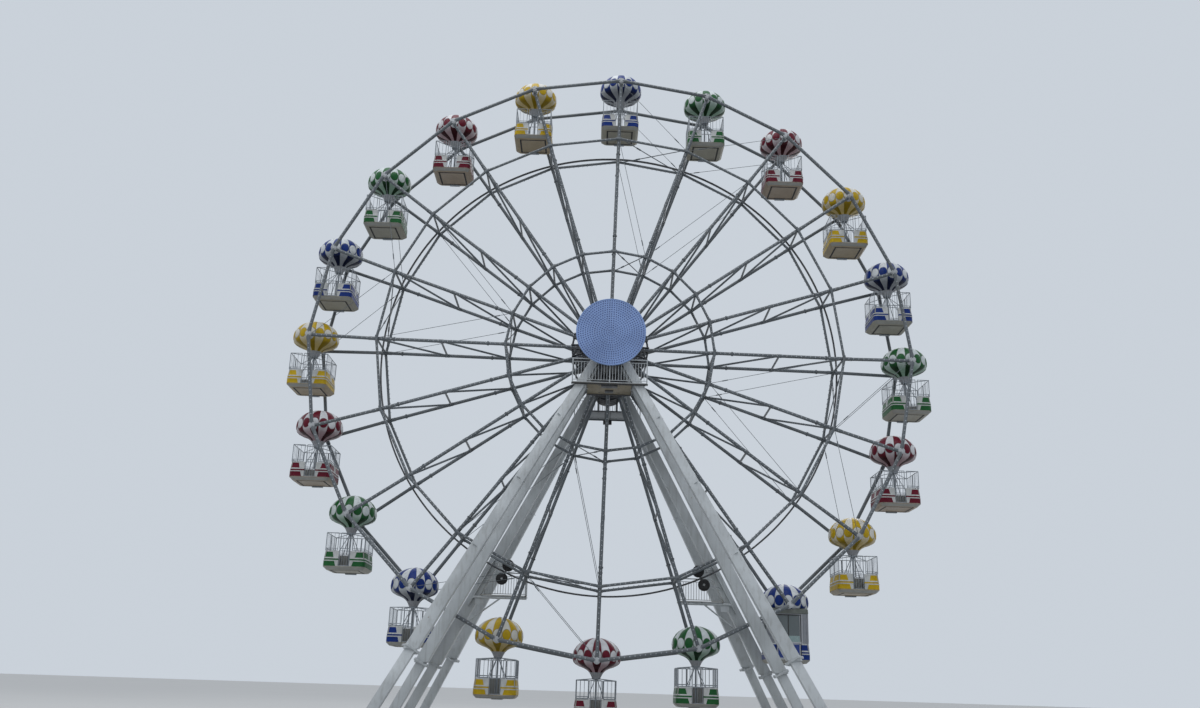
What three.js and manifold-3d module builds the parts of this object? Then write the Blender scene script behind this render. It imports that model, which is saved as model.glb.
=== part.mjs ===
// Balloon ferris wheel, modelled in millimetres with +Z up.
// The origin is on the ground under the middle of the hub, and the front of the wheel faces -Y.
// Angles round the wheel are counted clockwise from the top, as seen from the front.
import * as THREE from "three";
import { mergeVertices } from "three/addons/utils/BufferGeometryUtils.js";
import Module from "manifold-3d";

const wasm = await Module();
wasm.setup();

// Driving dimensions of the whole machine.
const HUB_HEIGHT = 15500;
const SPOKES = 20;
const REST_TURN = THREE.MathUtils.degToRad(0.75);
const TIP_RADIUS = 12800;
const MID_RADIUS = 9950;
const POST_RADIUS = 7200;
const INNER_RADIUS = 4450;
const GAP = 0.3; // left between pieces that rest on each other

// Wheel: two planes of tubes, which spread apart outside the middle ring.
const CHORD_Y = 1050;
const FLAT = Math.SQRT1_2; // distance to a flat over distance to a corner, on a four-sided bar
const CHORD = 88; // radius over the corners of the chord bars
const KINK_RADIUS = 10250;
const TIP_Y = 1208;
const BRACE = 45;
const RING = 48;
const STAY = 30;
const STAY_INSET = 0.07; // share of a bay that keeps the crossed stays clear of the spokes
const CHORD_FOOT = 1200; // radii on the hub's flanges where the tubes and the last diagonal end
const BRACE_FOOT = 1750;

// Bosses at the spoke tips, which carry the gondola axles.
const BOSS = 120;
const BOSS_INNER_Y = 1120;
const BOSS_OUTER_Y = TIP_Y + 75;

// Hub, axle and the round light disc on the axle's front end.
const FLANGE_RADIUS = 1400;
const FLANGE_THICK = 60;
const FLANGE_Y = CHORD_Y - CHORD * FLAT - GAP;
const BARREL_RADIUS = 480;
const COLLAR_RADIUS = 330;
const AXLE_RADIUS = 220;
const AXLE_REAR_Y = 2950;
const AXLE_CLEAR = 10; // all round the axle in the bearing heads
const DISC_RADIUS = 1420;
const DISC_THICK = 100;
const DISC_Y = -3260;
const ROUND_SIDES = 16;
const DISC_SIDES = 32;

// Drive ring on the rear face, and the tyres that pinch it.
const DRIVE_RADIUS = 10150;
const DRIVE_Y = 1280;
const DRIVE_TUBE = 56;
const DRIVE_CORNERS = 60;
const DRIVE_ANGLE = THREE.MathUtils.degToRad(156);
const TYRE_RADIUS = 250;
const TYRE_WIDTH = 160;
const TYRE_SHOULDER = 25;
const TYRE_SIDES = 18;
const TYRE_CLEAR = 5;
const BRACKET = { half: 60, lap: 30 }; // plates that carry the drive ring on the middle ring
const DRIVE_PLATE = { top: 8700, bottom: 10650, half: 150, thick: 20 }; // top and bottom below the hub
const CARRIER = { offset: 60, past: 90, radius: 50, arm: 45, arms: [8900, 9650], pin: 60 };
const DRIVE_DECK = { below: 10200, thick: 50, x: [3200, 5080], y: [1460, 2350], rail: 1000 };
const DRIVE_BEAM = { radius: 85, below: 110 };
const KNEE = { x: 4300, radius: 40, below: 400 }; // strut from the deck's beam down to the leg

// Tower: four pairs of box legs that meet at the two bearing heads.
const HEAD_INNER_Y = 1625;
const HEAD_OUTER_Y = 2850;
const HEAD_HALF_X = 470;
const HEAD_TOP = 520; // above the hub's centre
const HEAD_BOTTOM = -1250;
const LEG_SLOPE = 0.52; // sideways run for each unit of fall
const LEG_TOP = -760; // where a leg's centre line meets the head, from the hub's centre
const LEG_TOP_HALF = 170;
const LEG_LOW_HALF = 230;
const FOOT_HALF = 180;
const INNER_LEG_FACE = 1640;
const OUTER_TOP_Y = 2430;
const OUTER_FOOT_Y = 6590;
const INNER_FLANGE_Z = 2420;
const OUTER_FLANGE_Z = 2790;
const LEG_FLANGE = { half: 35, lip: 55 };
const HEAD_PLATE = 45; // bolts a pair of legs to its head
const BASE_PLATE = { half: 450, thick: 40 };
const WELD = 20; // depth that one joined piece runs into the next

// Platforms and rails.
const DECK_Z = HUB_HEIGHT - 2100;
const DECK_THICK = 60;
const DECK_HALF_X = 1540;
const DECK_EDGE_Y = [3035, 3135]; // the long strip that passes outside the outer legs
const WALK_Y = 1400; // where the walk between the legs ends, beside the wheel
const WALK_HALF_X = 940;
const RAIL_HEIGHT = 1000;
const RAIL_BAR = 28;
const POST_INSET = 40;
const HANGER = { radius: 45, inset: 60 };

// Gondola, measured from its axle at the spoke tips.
const AXLE = { radius: 45, half: BOSS_INNER_Y - GAP };
const GORES = 16;
const BALLOON = [
  [0, 940], [540, 800], [880, 480], [980, 180], [905, -40], [470, -260], [245, -420], [160, -640],
];
const COLUMN = 50;
const BASKET = { rim: -1450, band: -2080, keel: -2200, floor: -2150, sill: -2060, wall: 50 };
const BASKET_HALF = { rim: [815, 855], band: [855, 895], keel: [740, 770] };
const FLOOR_INSET = 120; // from the band's outside to the floor's edge
const CORNER = 220;
const DOOR_HALF = 240;
const CUT = [700, 1000]; // depths between which doors and windows are cut through the walls
const CAGE_TOP = -750;
const CAGE_HALF = [780, 820];
const CAGE_BAR = 22;
const CABIN = { number: 8, top: -80, roof: 180, sill: -1350, head: -330, windowHalf: 500 };

const X = new THREE.Vector3(1, 0, 0);
const Y = new THREE.Vector3(0, 1, 0);
const Z = new THREE.Vector3(0, 0, 1);
const at = (x, y, z) => new THREE.Vector3(x, y, z);

const paint = (color, metalness = 0.2, roughness = 0.5) =>
  new THREE.MeshStandardMaterial({ color, metalness, roughness });
const WHITE_STEEL = paint(0xd9dcdd);
const TOWER_STEEL = paint(0xb9bcb6);
const DARK_STEEL = paint(0x3a3d40, 0.5, 0.6);
const DISC_PAINT = paint(0x7382be);
const TYRE_RUBBER = paint(0x17181a, 0, 0.9);
const BALLOON_PAINT = [0x1c3fa8, 0x1d8a3c, 0xb0162b, 0xf0c419].map((color) => paint(color, 0, 0.4));

// A manifold solid of a closed three.js geometry, whichever way its faces point.
function solid(geometry) {
  const bare = geometry.clone();
  bare.deleteAttribute("normal");
  bare.deleteAttribute("uv");
  const merged = mergeVertices(bare, 1e-3);
  const vertProperties = merged.attributes.position.array;
  const make = (triVerts) => new wasm.Manifold(new wasm.Mesh({ numProp: 3, vertProperties, triVerts }));
  const index = new Uint32Array(merged.index.array);
  const first = make(index);
  return first.volume() > 0 ? first : make(index.reverse());
}

const join = (pieces) => wasm.Manifold.union(pieces);

function geometryOf(made) {
  const { vertProperties, triVerts } = made.getMesh();
  return new THREE.BufferGeometry()
    .setAttribute("position", new THREE.BufferAttribute(vertProperties, 3))
    .setIndex(new THREE.BufferAttribute(triVerts, 1));
}

function named(name, made, material) {
  const geometry = made.isBufferGeometry ? made : geometryOf(made);
  const mesh = new THREE.Mesh(geometry, material);
  mesh.name = name;
  return mesh;
}

// A closed solid through rings of points, each ring convex, with flat ends.
function loft(rings) {
  const count = rings[0].length;
  const positions = rings.flat().flatMap((p) => [p.x, p.y, p.z]);
  const index = [];
  for (let r = 0; r < rings.length - 1; r++) {
    for (let i = 0; i < count; i++) {
      const [a, b] = [r * count + i, r * count + ((i + 1) % count)];
      index.push(a, b, b + count, a, b + count, a + count);
    }
  }
  const last = (rings.length - 1) * count;
  for (let i = 1; i < count - 1; i++) {
    index.push(0, i + 1, i);
    index.push(last, last + i, last + i + 1);
  }
  return solid(
    new THREE.BufferGeometry()
      .setAttribute("position", new THREE.Float32BufferAttribute(positions, 3))
      .setIndex(index),
  );
}

// Corners of a regular section round a centre, with a flat facing the direction v.
function polygon(centre, u, v, radius, sides) {
  return Array.from({ length: sides }, (_, i) => {
    const angle = ((i + 0.5) * 2 * Math.PI) / sides;
    return centre
      .clone()
      .addScaledVector(u, radius * Math.sin(angle))
      .addScaledVector(v, radius * Math.cos(angle));
  });
}

// A straight bar from a to b with a flat facing as near as possible to the direction given.
function bar(a, b, radius, sides = 4, facing = Y) {
  const along = b.clone().sub(a).normalize();
  const v = facing.clone().addScaledVector(along, -facing.dot(along)).normalize();
  const u = along.clone().cross(v);
  return loft([a, b].map((end) => polygon(end, u, v, radius, sides)));
}

function box(low, high) {
  const size = high.clone().sub(low);
  const middle = low.clone().add(high).multiplyScalar(0.5);
  const geometry = new THREE.BoxGeometry(size.x, size.y, size.z);
  return solid(geometry.translate(middle.x, middle.y, middle.z));
}

// A round piece along Y, from y0 to y1, centred on x and z.
function drum(x, z, y0, y1, radius, sides) {
  return loft([y0, y1].map((y) => polygon(at(x, y, z), X, Z, radius, sides)));
}

// A ring round the wheel's axis: four-sided bars with mitred joints between its corners.
function ring(radius, y, tube, corners) {
  const half = tube * FLAT;
  const section = [[-1, -1], [1, -1], [1, 1], [-1, 1], [-1, -1]];
  const profile = section.map(([out, back]) => new THREE.Vector2(radius + out * half, y + back * half));
  return solid(new THREE.LatheGeometry(profile, corners));
}

// A point on the wheel by angle, radius and depth.
const onWheel = (angle, radius, y) => at(radius * Math.sin(angle), y, radius * Math.cos(angle));
const STEP = (2 * Math.PI) / SPOKES;

// One spoke, standing straight up from the wheel's centre.
function spoke() {
  const pieces = [];
  for (const side of [-1, 1]) {
    const stations = [[CHORD_FOOT, CHORD_Y], [KINK_RADIUS, CHORD_Y], [TIP_RADIUS, TIP_Y]];
    pieces.push(loft(stations.map(([z, y]) => polygon(at(0, side * y, z), X, Y, CHORD, 4))));
    pieces.push(drum(0, TIP_RADIUS, side * BOSS_INNER_Y, side * BOSS_OUTER_Y, BOSS, 6));
  }
  const levels = [MID_RADIUS, POST_RADIUS, INNER_RADIUS, BRACE_FOOT];
  levels.forEach((z, i) => {
    if (z !== BRACE_FOOT) {
      pieces.push(bar(at(0, -CHORD_Y, z), at(0, CHORD_Y, z), BRACE, 4, X));
      pieces.push(bar(at(0, -CHORD_Y, z), at(0, CHORD_Y, levels[i + 1]), BRACE, 4, X));
    }
  });
  return join(pieces);
}

// Crossed stays between the front and rear tubes of a ring, in every fifth bay.
function crossedStays(radius, y) {
  const pieces = [];
  for (let k = 0; k < SPOKES; k += 5) {
    const start = onWheel(k * STEP, radius, 0);
    const end = onWheel((k + 1) * STEP, radius, 0);
    const near = start.clone().lerp(end, STAY_INSET);
    const far = start.clone().lerp(end, 1 - STAY_INSET);
    for (const side of [-1, 1]) {
      pieces.push(bar(near.clone().setY(-side * y), far.clone().setY(side * y), STAY, 4, Z));
    }
  }
  return pieces;
}

const RING_Y = CHORD_Y + CHORD * FLAT + GAP + RING * FLAT;

function innerRing() {
  return join([
    ring(INNER_RADIUS, -RING_Y, RING, SPOKES),
    ring(INNER_RADIUS, RING_Y, RING, SPOKES),
    ...crossedStays(INNER_RADIUS, RING_Y),
  ]);
}

// The middle ring carries the round drive ring on a bracket at each spoke.
function midRing() {
  const pieces = [
    ring(MID_RADIUS, -RING_Y, RING, SPOKES),
    ring(MID_RADIUS, RING_Y, RING, SPOKES),
    ring(DRIVE_RADIUS, DRIVE_Y, DRIVE_TUBE, DRIVE_CORNERS),
    ...crossedStays(MID_RADIUS, RING_Y),
  ];
  const plateY = [CHORD_Y + CHORD * FLAT + GAP, RING_Y + RING * FLAT];
  const { half, lap } = BRACKET;
  const plate = box(at(-half, plateY[0], MID_RADIUS - lap), at(half, plateY[1], DRIVE_RADIUS + lap));
  const arm = box(at(-half, plateY[0], DRIVE_RADIUS - lap), at(half, DRIVE_Y, DRIVE_RADIUS + lap));
  const bracket = plate.add(arm);
  for (let k = 0; k < SPOKES; k++) {
    pieces.push(bracket.rotate([0, THREE.MathUtils.radToDeg(k * STEP), 0]));
  }
  return join(pieces);
}

const RIM_Y = BOSS_OUTER_Y + GAP + CHORD * FLAT;

function hub() {
  const pieces = [
    drum(0, 0, -FLANGE_Y, FLANGE_Y, BARREL_RADIUS, ROUND_SIDES),
    drum(0, 0, GAP - HEAD_INNER_Y, HEAD_INNER_Y - GAP, COLLAR_RADIUS, ROUND_SIDES),
    drum(0, 0, DISC_Y + GAP, AXLE_REAR_Y, AXLE_RADIUS, ROUND_SIDES),
  ];
  for (const side of [-1, 1]) {
    pieces.push(drum(0, 0, side * (FLANGE_Y - FLANGE_THICK), side * FLANGE_Y, FLANGE_RADIUS, SPOKES));
  }
  return join(pieces);
}

// A tyre with its rim, lying round the Y axis.
function tyre() {
  const half = TYRE_WIDTH / 2;
  const [wall, tread] = [TYRE_RADIUS - TYRE_SHOULDER, half - TYRE_SHOULDER];
  const front = [[0, -half], [wall, -half], [TYRE_RADIUS, -tread]];
  const back = [[TYRE_RADIUS, tread], [wall, half], [0, half]];
  const profile = [...front, ...back].map(([r, y]) => new THREE.Vector2(r, y));
  return solid(new THREE.LatheGeometry(profile, TYRE_SIDES));
}

// Where the two tyres of a drive sit along the wheel's radius.
const INNER_TYRE_RADIUS =
  (DRIVE_RADIUS - DRIVE_TUBE * FLAT) * Math.cos(Math.PI / DRIVE_CORNERS) - TYRE_CLEAR - TYRE_RADIUS;
const OUTER_TYRE_RADIUS = DRIVE_RADIUS + DRIVE_TUBE * FLAT + TYRE_CLEAR + TYRE_RADIUS;

const legX = (z) => HEAD_HALF_X + GAP + LEG_SLOPE * (HUB_HEIGHT + LEG_TOP - z);
const LEG_COS = 1 / Math.hypot(1, LEG_SLOPE);
const LEG_SIN = LEG_SLOPE * LEG_COS;
const OUTER_SLOPE = (OUTER_FOOT_Y - OUTER_TOP_Y) / (HUB_HEIGHT + LEG_TOP);
const outerLegY = (z) => OUTER_FOOT_Y - OUTER_SLOPE * z;

// A level cut through a leg: its centre, and half its size across each way.
const legCut = (side, x, y, z, half, halfY = half) => [
  at(side * (x - half / LEG_COS), y - halfY, z),
  at(side * (x + half / LEG_COS), y - halfY, z),
  at(side * (x + half / LEG_COS), y + halfY, z),
  at(side * (x - half / LEG_COS), y + halfY, z),
];

// One box leg on the right (side 1) or left (side -1), behind the wheel. centreY gives its depth by height.
function leg(side, centreY, flangeZ) {
  const topZ = HUB_HEIGHT + LEG_TOP;
  const topX = HEAD_HALF_X + GAP;
  const half = LEG_TOP_HALF;
  const face = [[-1, -1], [1, -1], [1, 1], [-1, 1]].map(([up, back]) => {
    const z = topZ + (up * half) / LEG_SIN;
    return at(side * topX, centreY(z, half) + back * half, z);
  });
  const lowY = centreY(flangeZ, LEG_LOW_HALF);
  const shaft = loft([legCut(side, legX(flangeZ), lowY, flangeZ, LEG_LOW_HALF), face]);
  const footY = centreY(0, FOOT_HALF);
  const narrowY = centreY(flangeZ, FOOT_HALF);
  const foot = loft([
    legCut(side, legX(WELD), footY, WELD, FOOT_HALF),
    legCut(side, legX(flangeZ), narrowY, flangeZ, FOOT_HALF),
  ]);
  const slope = (centreY(flangeZ, LEG_LOW_HALF) - centreY(topZ, half)) / (topZ - flangeZ);
  const along = at(side * LEG_SLOPE, slope, -1).normalize();
  const middle = at(side * legX(flangeZ), lowY, flangeZ);
  const flange = bar(
    middle.clone().addScaledVector(along, -LEG_FLANGE.half),
    middle.clone().addScaledVector(along, LEG_FLANGE.half),
    (LEG_LOW_HALF + LEG_FLANGE.lip) * Math.SQRT2,
  );
  const { half: plate, thick } = BASE_PLATE;
  const base = box(
    at(side * legX(0) - plate, footY - plate, 0),
    at(side * legX(0) + plate, footY + plate, thick),
  );
  return join([shaft, foot, flange, base]);
}

// An inner and an outer leg behind the wheel, joined by the plate that bolts them to the head.
function legPair(side) {
  const inner = leg(side, (z, half) => INNER_LEG_FACE + half, INNER_FLANGE_Z);
  const outer = leg(side, (z) => outerLegY(z), OUTER_FLANGE_Z);
  const reach = LEG_TOP_HALF / LEG_SIN;
  const [near, far] = [HEAD_HALF_X + GAP, HEAD_HALF_X + HEAD_PLATE].map((x) => side * x);
  const plate = box(
    at(Math.min(near, far), INNER_LEG_FACE, HUB_HEIGHT + LEG_TOP - reach),
    at(Math.max(near, far), HEAD_OUTER_Y, HUB_HEIGHT + LEG_TOP + reach),
  );
  return join([inner, outer, plate]);
}

// Handrails along a run of posts: a top rail, a middle rail and the posts.
function rails(points, deckTop, height) {
  const pieces = points.map((p) =>
    bar(p.clone().setZ(deckTop - WELD), p.clone().setZ(deckTop + height), RAIL_BAR));
  for (let i = 0; i < points.length - 1; i++) {
    for (const share of [0.5, 1]) {
      const z = deckTop + height * share;
      const run = points[i + 1].clone().sub(points[i]).normalize();
      const ends = [points[i].clone().setZ(z), points[i + 1].clone().setZ(z)];
      ends[0].addScaledVector(run, -RAIL_BAR / 2);
      ends[1].addScaledVector(run, RAIL_BAR / 2);
      pieces.push(bar(ends[0], ends[1], RAIL_BAR, 4, Z));
    }
  }
  return pieces;
}

// The bearing head behind the wheel, with the deck that hangs under it.
function head() {
  const block = box(
    at(-HEAD_HALF_X, HEAD_INNER_Y, HUB_HEIGHT + HEAD_BOTTOM),
    at(HEAD_HALF_X, HEAD_OUTER_Y, HUB_HEIGHT + HEAD_TOP),
  );
  const [boreStart, boreEnd] = [HEAD_INNER_Y - WELD, HEAD_OUTER_Y + WELD];
  const bore = drum(0, HUB_HEIGHT, boreStart, boreEnd, AXLE_RADIUS + AXLE_CLEAR, ROUND_SIDES);
  const deckBottom = DECK_Z - DECK_THICK;
  const [stripInner, stripOuter] = DECK_EDGE_Y;
  const strip = box(at(-DECK_HALF_X, stripInner, deckBottom), at(DECK_HALF_X, stripOuter, DECK_Z));
  const walk = box(at(-WALK_HALF_X, WALK_Y, deckBottom), at(WALK_HALF_X, stripInner + WELD, DECK_Z));
  const pieces = [block.subtract(bore), strip, walk];
  for (const side of [-1, 1]) {
    for (const y of [HEAD_INNER_Y + HANGER.inset, HEAD_OUTER_Y - HANGER.inset]) {
      const x = side * (HEAD_HALF_X - HANGER.inset);
      pieces.push(bar(at(x, y, DECK_Z - WELD), at(x, y, HUB_HEIGHT + HEAD_BOTTOM + WELD), HANGER.radius));
    }
  }
  const edge = DECK_HALF_X - POST_INSET;
  const posts = [-edge, 0, edge].map((x) => at(x, stripOuter - POST_INSET, 0));
  pieces.push(...rails(posts, DECK_Z, RAIL_HEIGHT));
  return join(pieces);
}

// The drive on the right of the rear tower: a plate on the inner leg, the tyres' carrier and a service deck.
function drive() {
  const legPoint = (below, depth = 0) =>
    at(legX(HUB_HEIGHT - below), INNER_LEG_FACE - GAP - DRIVE_PLATE.thick - depth, HUB_HEIGHT - below);
  const { half, thick } = DRIVE_PLATE;
  const plate = loft(
    [DRIVE_PLATE.top, DRIVE_PLATE.bottom].map((below) => {
      const p = legPoint(below);
      return [[-1, -1], [1, -1], [1, 1], [-1, 1]].map(([a, b]) => at(p.x + a * half, p.y + b * thick, p.z));
    }),
  );
  const wheelPoint = (radius, y) => onWheel(DRIVE_ANGLE, radius, y).add(at(0, 0, HUB_HEIGHT));
  const tyreBack = DRIVE_Y + TYRE_WIDTH / 2;
  const carrierY = tyreBack + CARRIER.offset;
  const tyres = [INNER_TYRE_RADIUS, OUTER_TYRE_RADIUS];
  const carrier = bar(
    wheelPoint(INNER_TYRE_RADIUS - CARRIER.past, carrierY),
    wheelPoint(OUTER_TYRE_RADIUS + CARRIER.past, carrierY),
    CARRIER.radius,
  );
  const pieces = [plate, carrier];
  tyres.forEach((radius, i) => {
    const p = wheelPoint(radius, 0);
    pieces.push(drum(p.x, p.z, tyreBack + GAP, carrierY + CARRIER.offset, CARRIER.pin, 8));
    pieces.push(bar(wheelPoint(radius, carrierY), legPoint(CARRIER.arms[i], thick), CARRIER.arm));
  });
  const deckTop = HUB_HEIGHT - DRIVE_DECK.below;
  const [x0, x1] = DRIVE_DECK.x;
  const [y0, y1] = DRIVE_DECK.y;
  pieces.push(box(at(x0, y0, deckTop - DRIVE_DECK.thick), at(x1, y1, deckTop)));
  const beamY = INNER_LEG_FACE - DRIVE_BEAM.radius - thick;
  const beamZ = deckTop - DRIVE_BEAM.below;
  const kneeZ = beamZ - KNEE.below;
  pieces.push(bar(at(x0, beamY, beamZ), at(legX(beamZ), beamY, beamZ), DRIVE_BEAM.radius, 6));
  pieces.push(bar(at(KNEE.x, beamY, beamZ - WELD), at(legX(kneeZ), beamY + thick, kneeZ), KNEE.radius));
  const posts = [[x0, y0, 1, 1], [x0, y1, 1, -1], [x1, y1, -1, -1]].map(([x, y, inX, inY]) =>
    at(x + inX * POST_INSET, y + inY * POST_INSET, 0));
  pieces.push(...rails(posts, deckTop, DRIVE_DECK.rail));
  return join(pieces);
}

// Eight-cornered plan of the basket, at one height.
function plan([halfX, halfY], z, inset = 0) {
  const [hx, hy] = [halfX - inset, halfY - inset];
  const cut = CORNER - inset * 0.6;
  return [
    at(-hx + cut, -hy, z), at(hx - cut, -hy, z), at(hx, -hy + cut, z), at(hx, hy - cut, z),
    at(hx - cut, hy, z), at(-hx + cut, hy, z), at(-hx, hy - cut, z), at(-hx, -hy + cut, z),
  ];
}

function balloon() {
  const profile = [...BALLOON, [0, BALLOON.at(-1)[1]]].map(([r, z]) => new THREE.Vector2(r, z));
  return solid(new THREE.LatheGeometry(profile, GORES, Math.PI / GORES).rotateX(Math.PI / 2));
}

// The hull that people stand in, from the keel to the given rim height, with its inside cut out.
function hull(rimZ, rimHalf) {
  const { band, keel, floor, wall } = BASKET;
  const sides = BASKET_HALF;
  const outside = loft([plan(sides.keel, keel), plan(sides.band, band), plan(rimHalf, rimZ)]);
  const inside = loft([
    plan(sides.band, floor, FLOOR_INSET),
    plan(sides.band, band, wall),
    plan(rimHalf, rimZ + 1, wall),
  ]);
  return [outside, inside];
}

// An open basket under a balloon: one solid, because the column and cage are welded to both.
function gondola() {
  const [outside, inside] = hull(BASKET.rim, BASKET_HALF.rim);
  const door = box(at(-DOOR_HALF, -CUT[1], BASKET.sill), at(DOOR_HALF, -CUT[0], CAGE_TOP));
  const basket = outside.subtract(inside).subtract(door);
  const [topX, topY] = CAGE_HALF;
  const [rimX, rimY] = BASKET_HALF.rim.map((half) => half - CORNER / 2 - BASKET.wall / 2);
  const pieces = [balloon(), basket, cageRail()];
  for (const [sx, sy] of [[-1, -1], [1, -1], [1, 1], [-1, 1]]) {
    const low = at(sx * rimX, sy * rimY, BASKET.rim - WELD);
    pieces.push(bar(low, at(sx * topX, sy * topY, CAGE_TOP), CAGE_BAR));
  }
  return join([...pieces, ...mast()]);
}

// The cage's top rail: one closed frame with mitred corners.
function cageRail() {
  const frame = (grow, z) => [[-1, -1], [1, -1], [1, 1], [-1, 1]].map(([sx, sy]) =>
    at(sx * (CAGE_HALF[0] + grow), sy * (CAGE_HALF[1] + grow), z));
  const rings = [[CAGE_BAR, -CAGE_BAR], [CAGE_BAR, CAGE_BAR]].map(([grow, z]) => frame(grow, CAGE_TOP + z));
  const hole = [-CAGE_BAR - 1, CAGE_BAR + 1].map((z) => frame(-CAGE_BAR, CAGE_TOP + z));
  return loft(rings).subtract(loft(hole));
}

// The axle through the balloon and the column from the balloon's neck to the floor.
const mast = () => [
  bar(at(0, -AXLE.half, 0), at(0, AXLE.half, 0), AXLE.radius, 4, Z),
  bar(at(0, 0, BALLOON.at(-1)[1] + WELD), at(0, 0, BASKET.floor - WELD), COLUMN, 4),
];

// The closed cabin, with a door and windows on all four sides.
function cabin() {
  const rimHalf = BASKET_HALF.rim;
  const [outside, inside] = hull(CABIN.top, rimHalf);
  const ceiling = box(at(-CUT[1], -CUT[1], CABIN.top - CABIN.roof), at(CUT[1], CUT[1], CABIN.top + WELD));
  const { sill, head: lintel, windowHalf: w } = CABIN;
  const [near, far] = CUT;
  const windows = [
    box(at(-w, -far, BASKET.sill), at(w, -near, lintel)),
    box(at(-w, near, sill), at(w, far, lintel)),
    box(at(-far, -w, sill), at(-near, w, lintel)),
    box(at(near, -w, sill), at(far, w, lintel)),
  ];
  const room = inside.subtract(ceiling);
  const shell = windows.reduce((made, window) => made.subtract(window), outside.subtract(room));
  return join([balloon(), shell, ...mast()]);
}

// Placement of everything in the standing machine.
const machine = new THREE.Group();

const wheel = new THREE.Group();
wheel.position.z = HUB_HEIGHT;
wheel.rotation.y = REST_TURN;
machine.add(wheel);

const spokeGeometry = geometryOf(spoke());
for (let k = 0; k < SPOKES; k++) {
  const one = named(`spoke_${String(k).padStart(2, "0")}`, spokeGeometry, WHITE_STEEL);
  one.rotation.y = k * STEP;
  wheel.add(one);
}
wheel.add(named("rim_front", ring(TIP_RADIUS, -RIM_Y, CHORD, SPOKES), WHITE_STEEL));
wheel.add(named("rim_rear", ring(TIP_RADIUS, RIM_Y, CHORD, SPOKES), WHITE_STEEL));
wheel.add(named("mid_ring", midRing(), WHITE_STEEL));
wheel.add(named("inner_ring", innerRing(), WHITE_STEEL));
wheel.add(named("hub", hub(), DARK_STEEL));
wheel.add(named("hub_disc", drum(0, 0, DISC_Y - DISC_THICK, DISC_Y, DISC_RADIUS, DISC_SIDES), DISC_PAINT));

const gondolaGeometry = geometryOf(gondola());
for (let k = 0; k < SPOKES; k++) {
  const shape = k === CABIN.number ? cabin() : gondolaGeometry;
  const one = named(`gondola_${String(k).padStart(2, "0")}`, shape, BALLOON_PAINT[k % BALLOON_PAINT.length]);
  one.position.copy(onWheel(REST_TURN + k * STEP, TIP_RADIUS, 0)).add(at(0, 0, HUB_HEIGHT));
  machine.add(one);
}

const rearRight = legPair(1);
const rearLeft = legPair(-1);
const rearHead = head();
const toFront = (made) => made.mirror([0, 1, 0]);
machine.add(named("rear_right_legs", rearRight, TOWER_STEEL));
machine.add(named("rear_left_legs", rearLeft, TOWER_STEEL));
machine.add(named("front_right_legs", toFront(rearRight), TOWER_STEEL));
machine.add(named("front_left_legs", toFront(rearLeft), TOWER_STEEL));
machine.add(named("rear_head", rearHead, TOWER_STEEL));
machine.add(named("front_head", toFront(rearHead), TOWER_STEEL));

const rightDrive = drive();
machine.add(named("right_drive", rightDrive, TOWER_STEEL));
machine.add(named("left_drive", rightDrive.mirror([1, 0, 0]), TOWER_STEEL));

const tyreGeometry = geometryOf(tyre());
for (const [sideName, side] of [["right", 1], ["left", -1]]) {
  for (const [level, radius] of [["upper", INNER_TYRE_RADIUS], ["lower", OUTER_TYRE_RADIUS]]) {
    const one = named(`${sideName}_${level}_tyre`, tyreGeometry, TYRE_RUBBER);
    one.position.copy(onWheel(side * DRIVE_ANGLE, radius, DRIVE_Y)).add(at(0, 0, HUB_HEIGHT));
    machine.add(one);
  }
}

export default machine;
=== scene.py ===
"""Balloon ferris wheel: the finish of every surface and the fine pieces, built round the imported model.

Lengths are in metres, +Z is up and the front of the wheel faces -Y. Angles round the wheel are counted
clockwise from the top, as seen from the front.
"""

import logging
import math
from dataclasses import dataclass
from enum import Enum
from typing import Iterable, Sequence

import bmesh
import bpy
from mathutils import Matrix, Vector


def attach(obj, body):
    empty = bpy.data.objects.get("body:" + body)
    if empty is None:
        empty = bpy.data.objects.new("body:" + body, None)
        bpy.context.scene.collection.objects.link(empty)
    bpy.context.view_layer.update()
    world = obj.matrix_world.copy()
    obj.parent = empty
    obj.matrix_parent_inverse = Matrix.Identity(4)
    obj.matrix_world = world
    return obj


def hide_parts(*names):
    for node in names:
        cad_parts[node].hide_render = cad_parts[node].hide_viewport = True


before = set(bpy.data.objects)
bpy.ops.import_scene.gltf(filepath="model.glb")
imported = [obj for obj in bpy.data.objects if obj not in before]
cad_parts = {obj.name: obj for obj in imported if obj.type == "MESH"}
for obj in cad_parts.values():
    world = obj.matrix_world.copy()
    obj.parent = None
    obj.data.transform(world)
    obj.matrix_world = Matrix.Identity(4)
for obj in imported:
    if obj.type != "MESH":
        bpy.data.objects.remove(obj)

LOG = logging.getLogger("ferris_wheel")
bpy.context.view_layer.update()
Piece = bpy.types.Object
Socket = bpy.types.NodeSocket
Point = Sequence[float]
Colour = tuple[float, float, float]
Span = tuple[float, float]
Profile = tuple[Span, ...]

ORIGIN = (0, 0, 0)
X_AXIS = Vector((1, 0, 0))
Y_AXIS = Vector((0, 1, 0))
Z_AXIS = Vector((0, 0, 1))
SIDES = (-1, 1)


class Hue(Enum):
    """The gondolas' four colours, in their order round the wheel."""

    BLUE = (0.0012, 0.027, 0.195)
    GREEN = (0.012, 0.112, 0.028)
    RED = (0.135, 0.003, 0.018)
    YELLOW = (0.54, 0.36, 0.007)


class Side(Enum):
    """The two faces of the machine, by the sign of Y."""

    FRONT = -1
    REAR = 1


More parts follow.
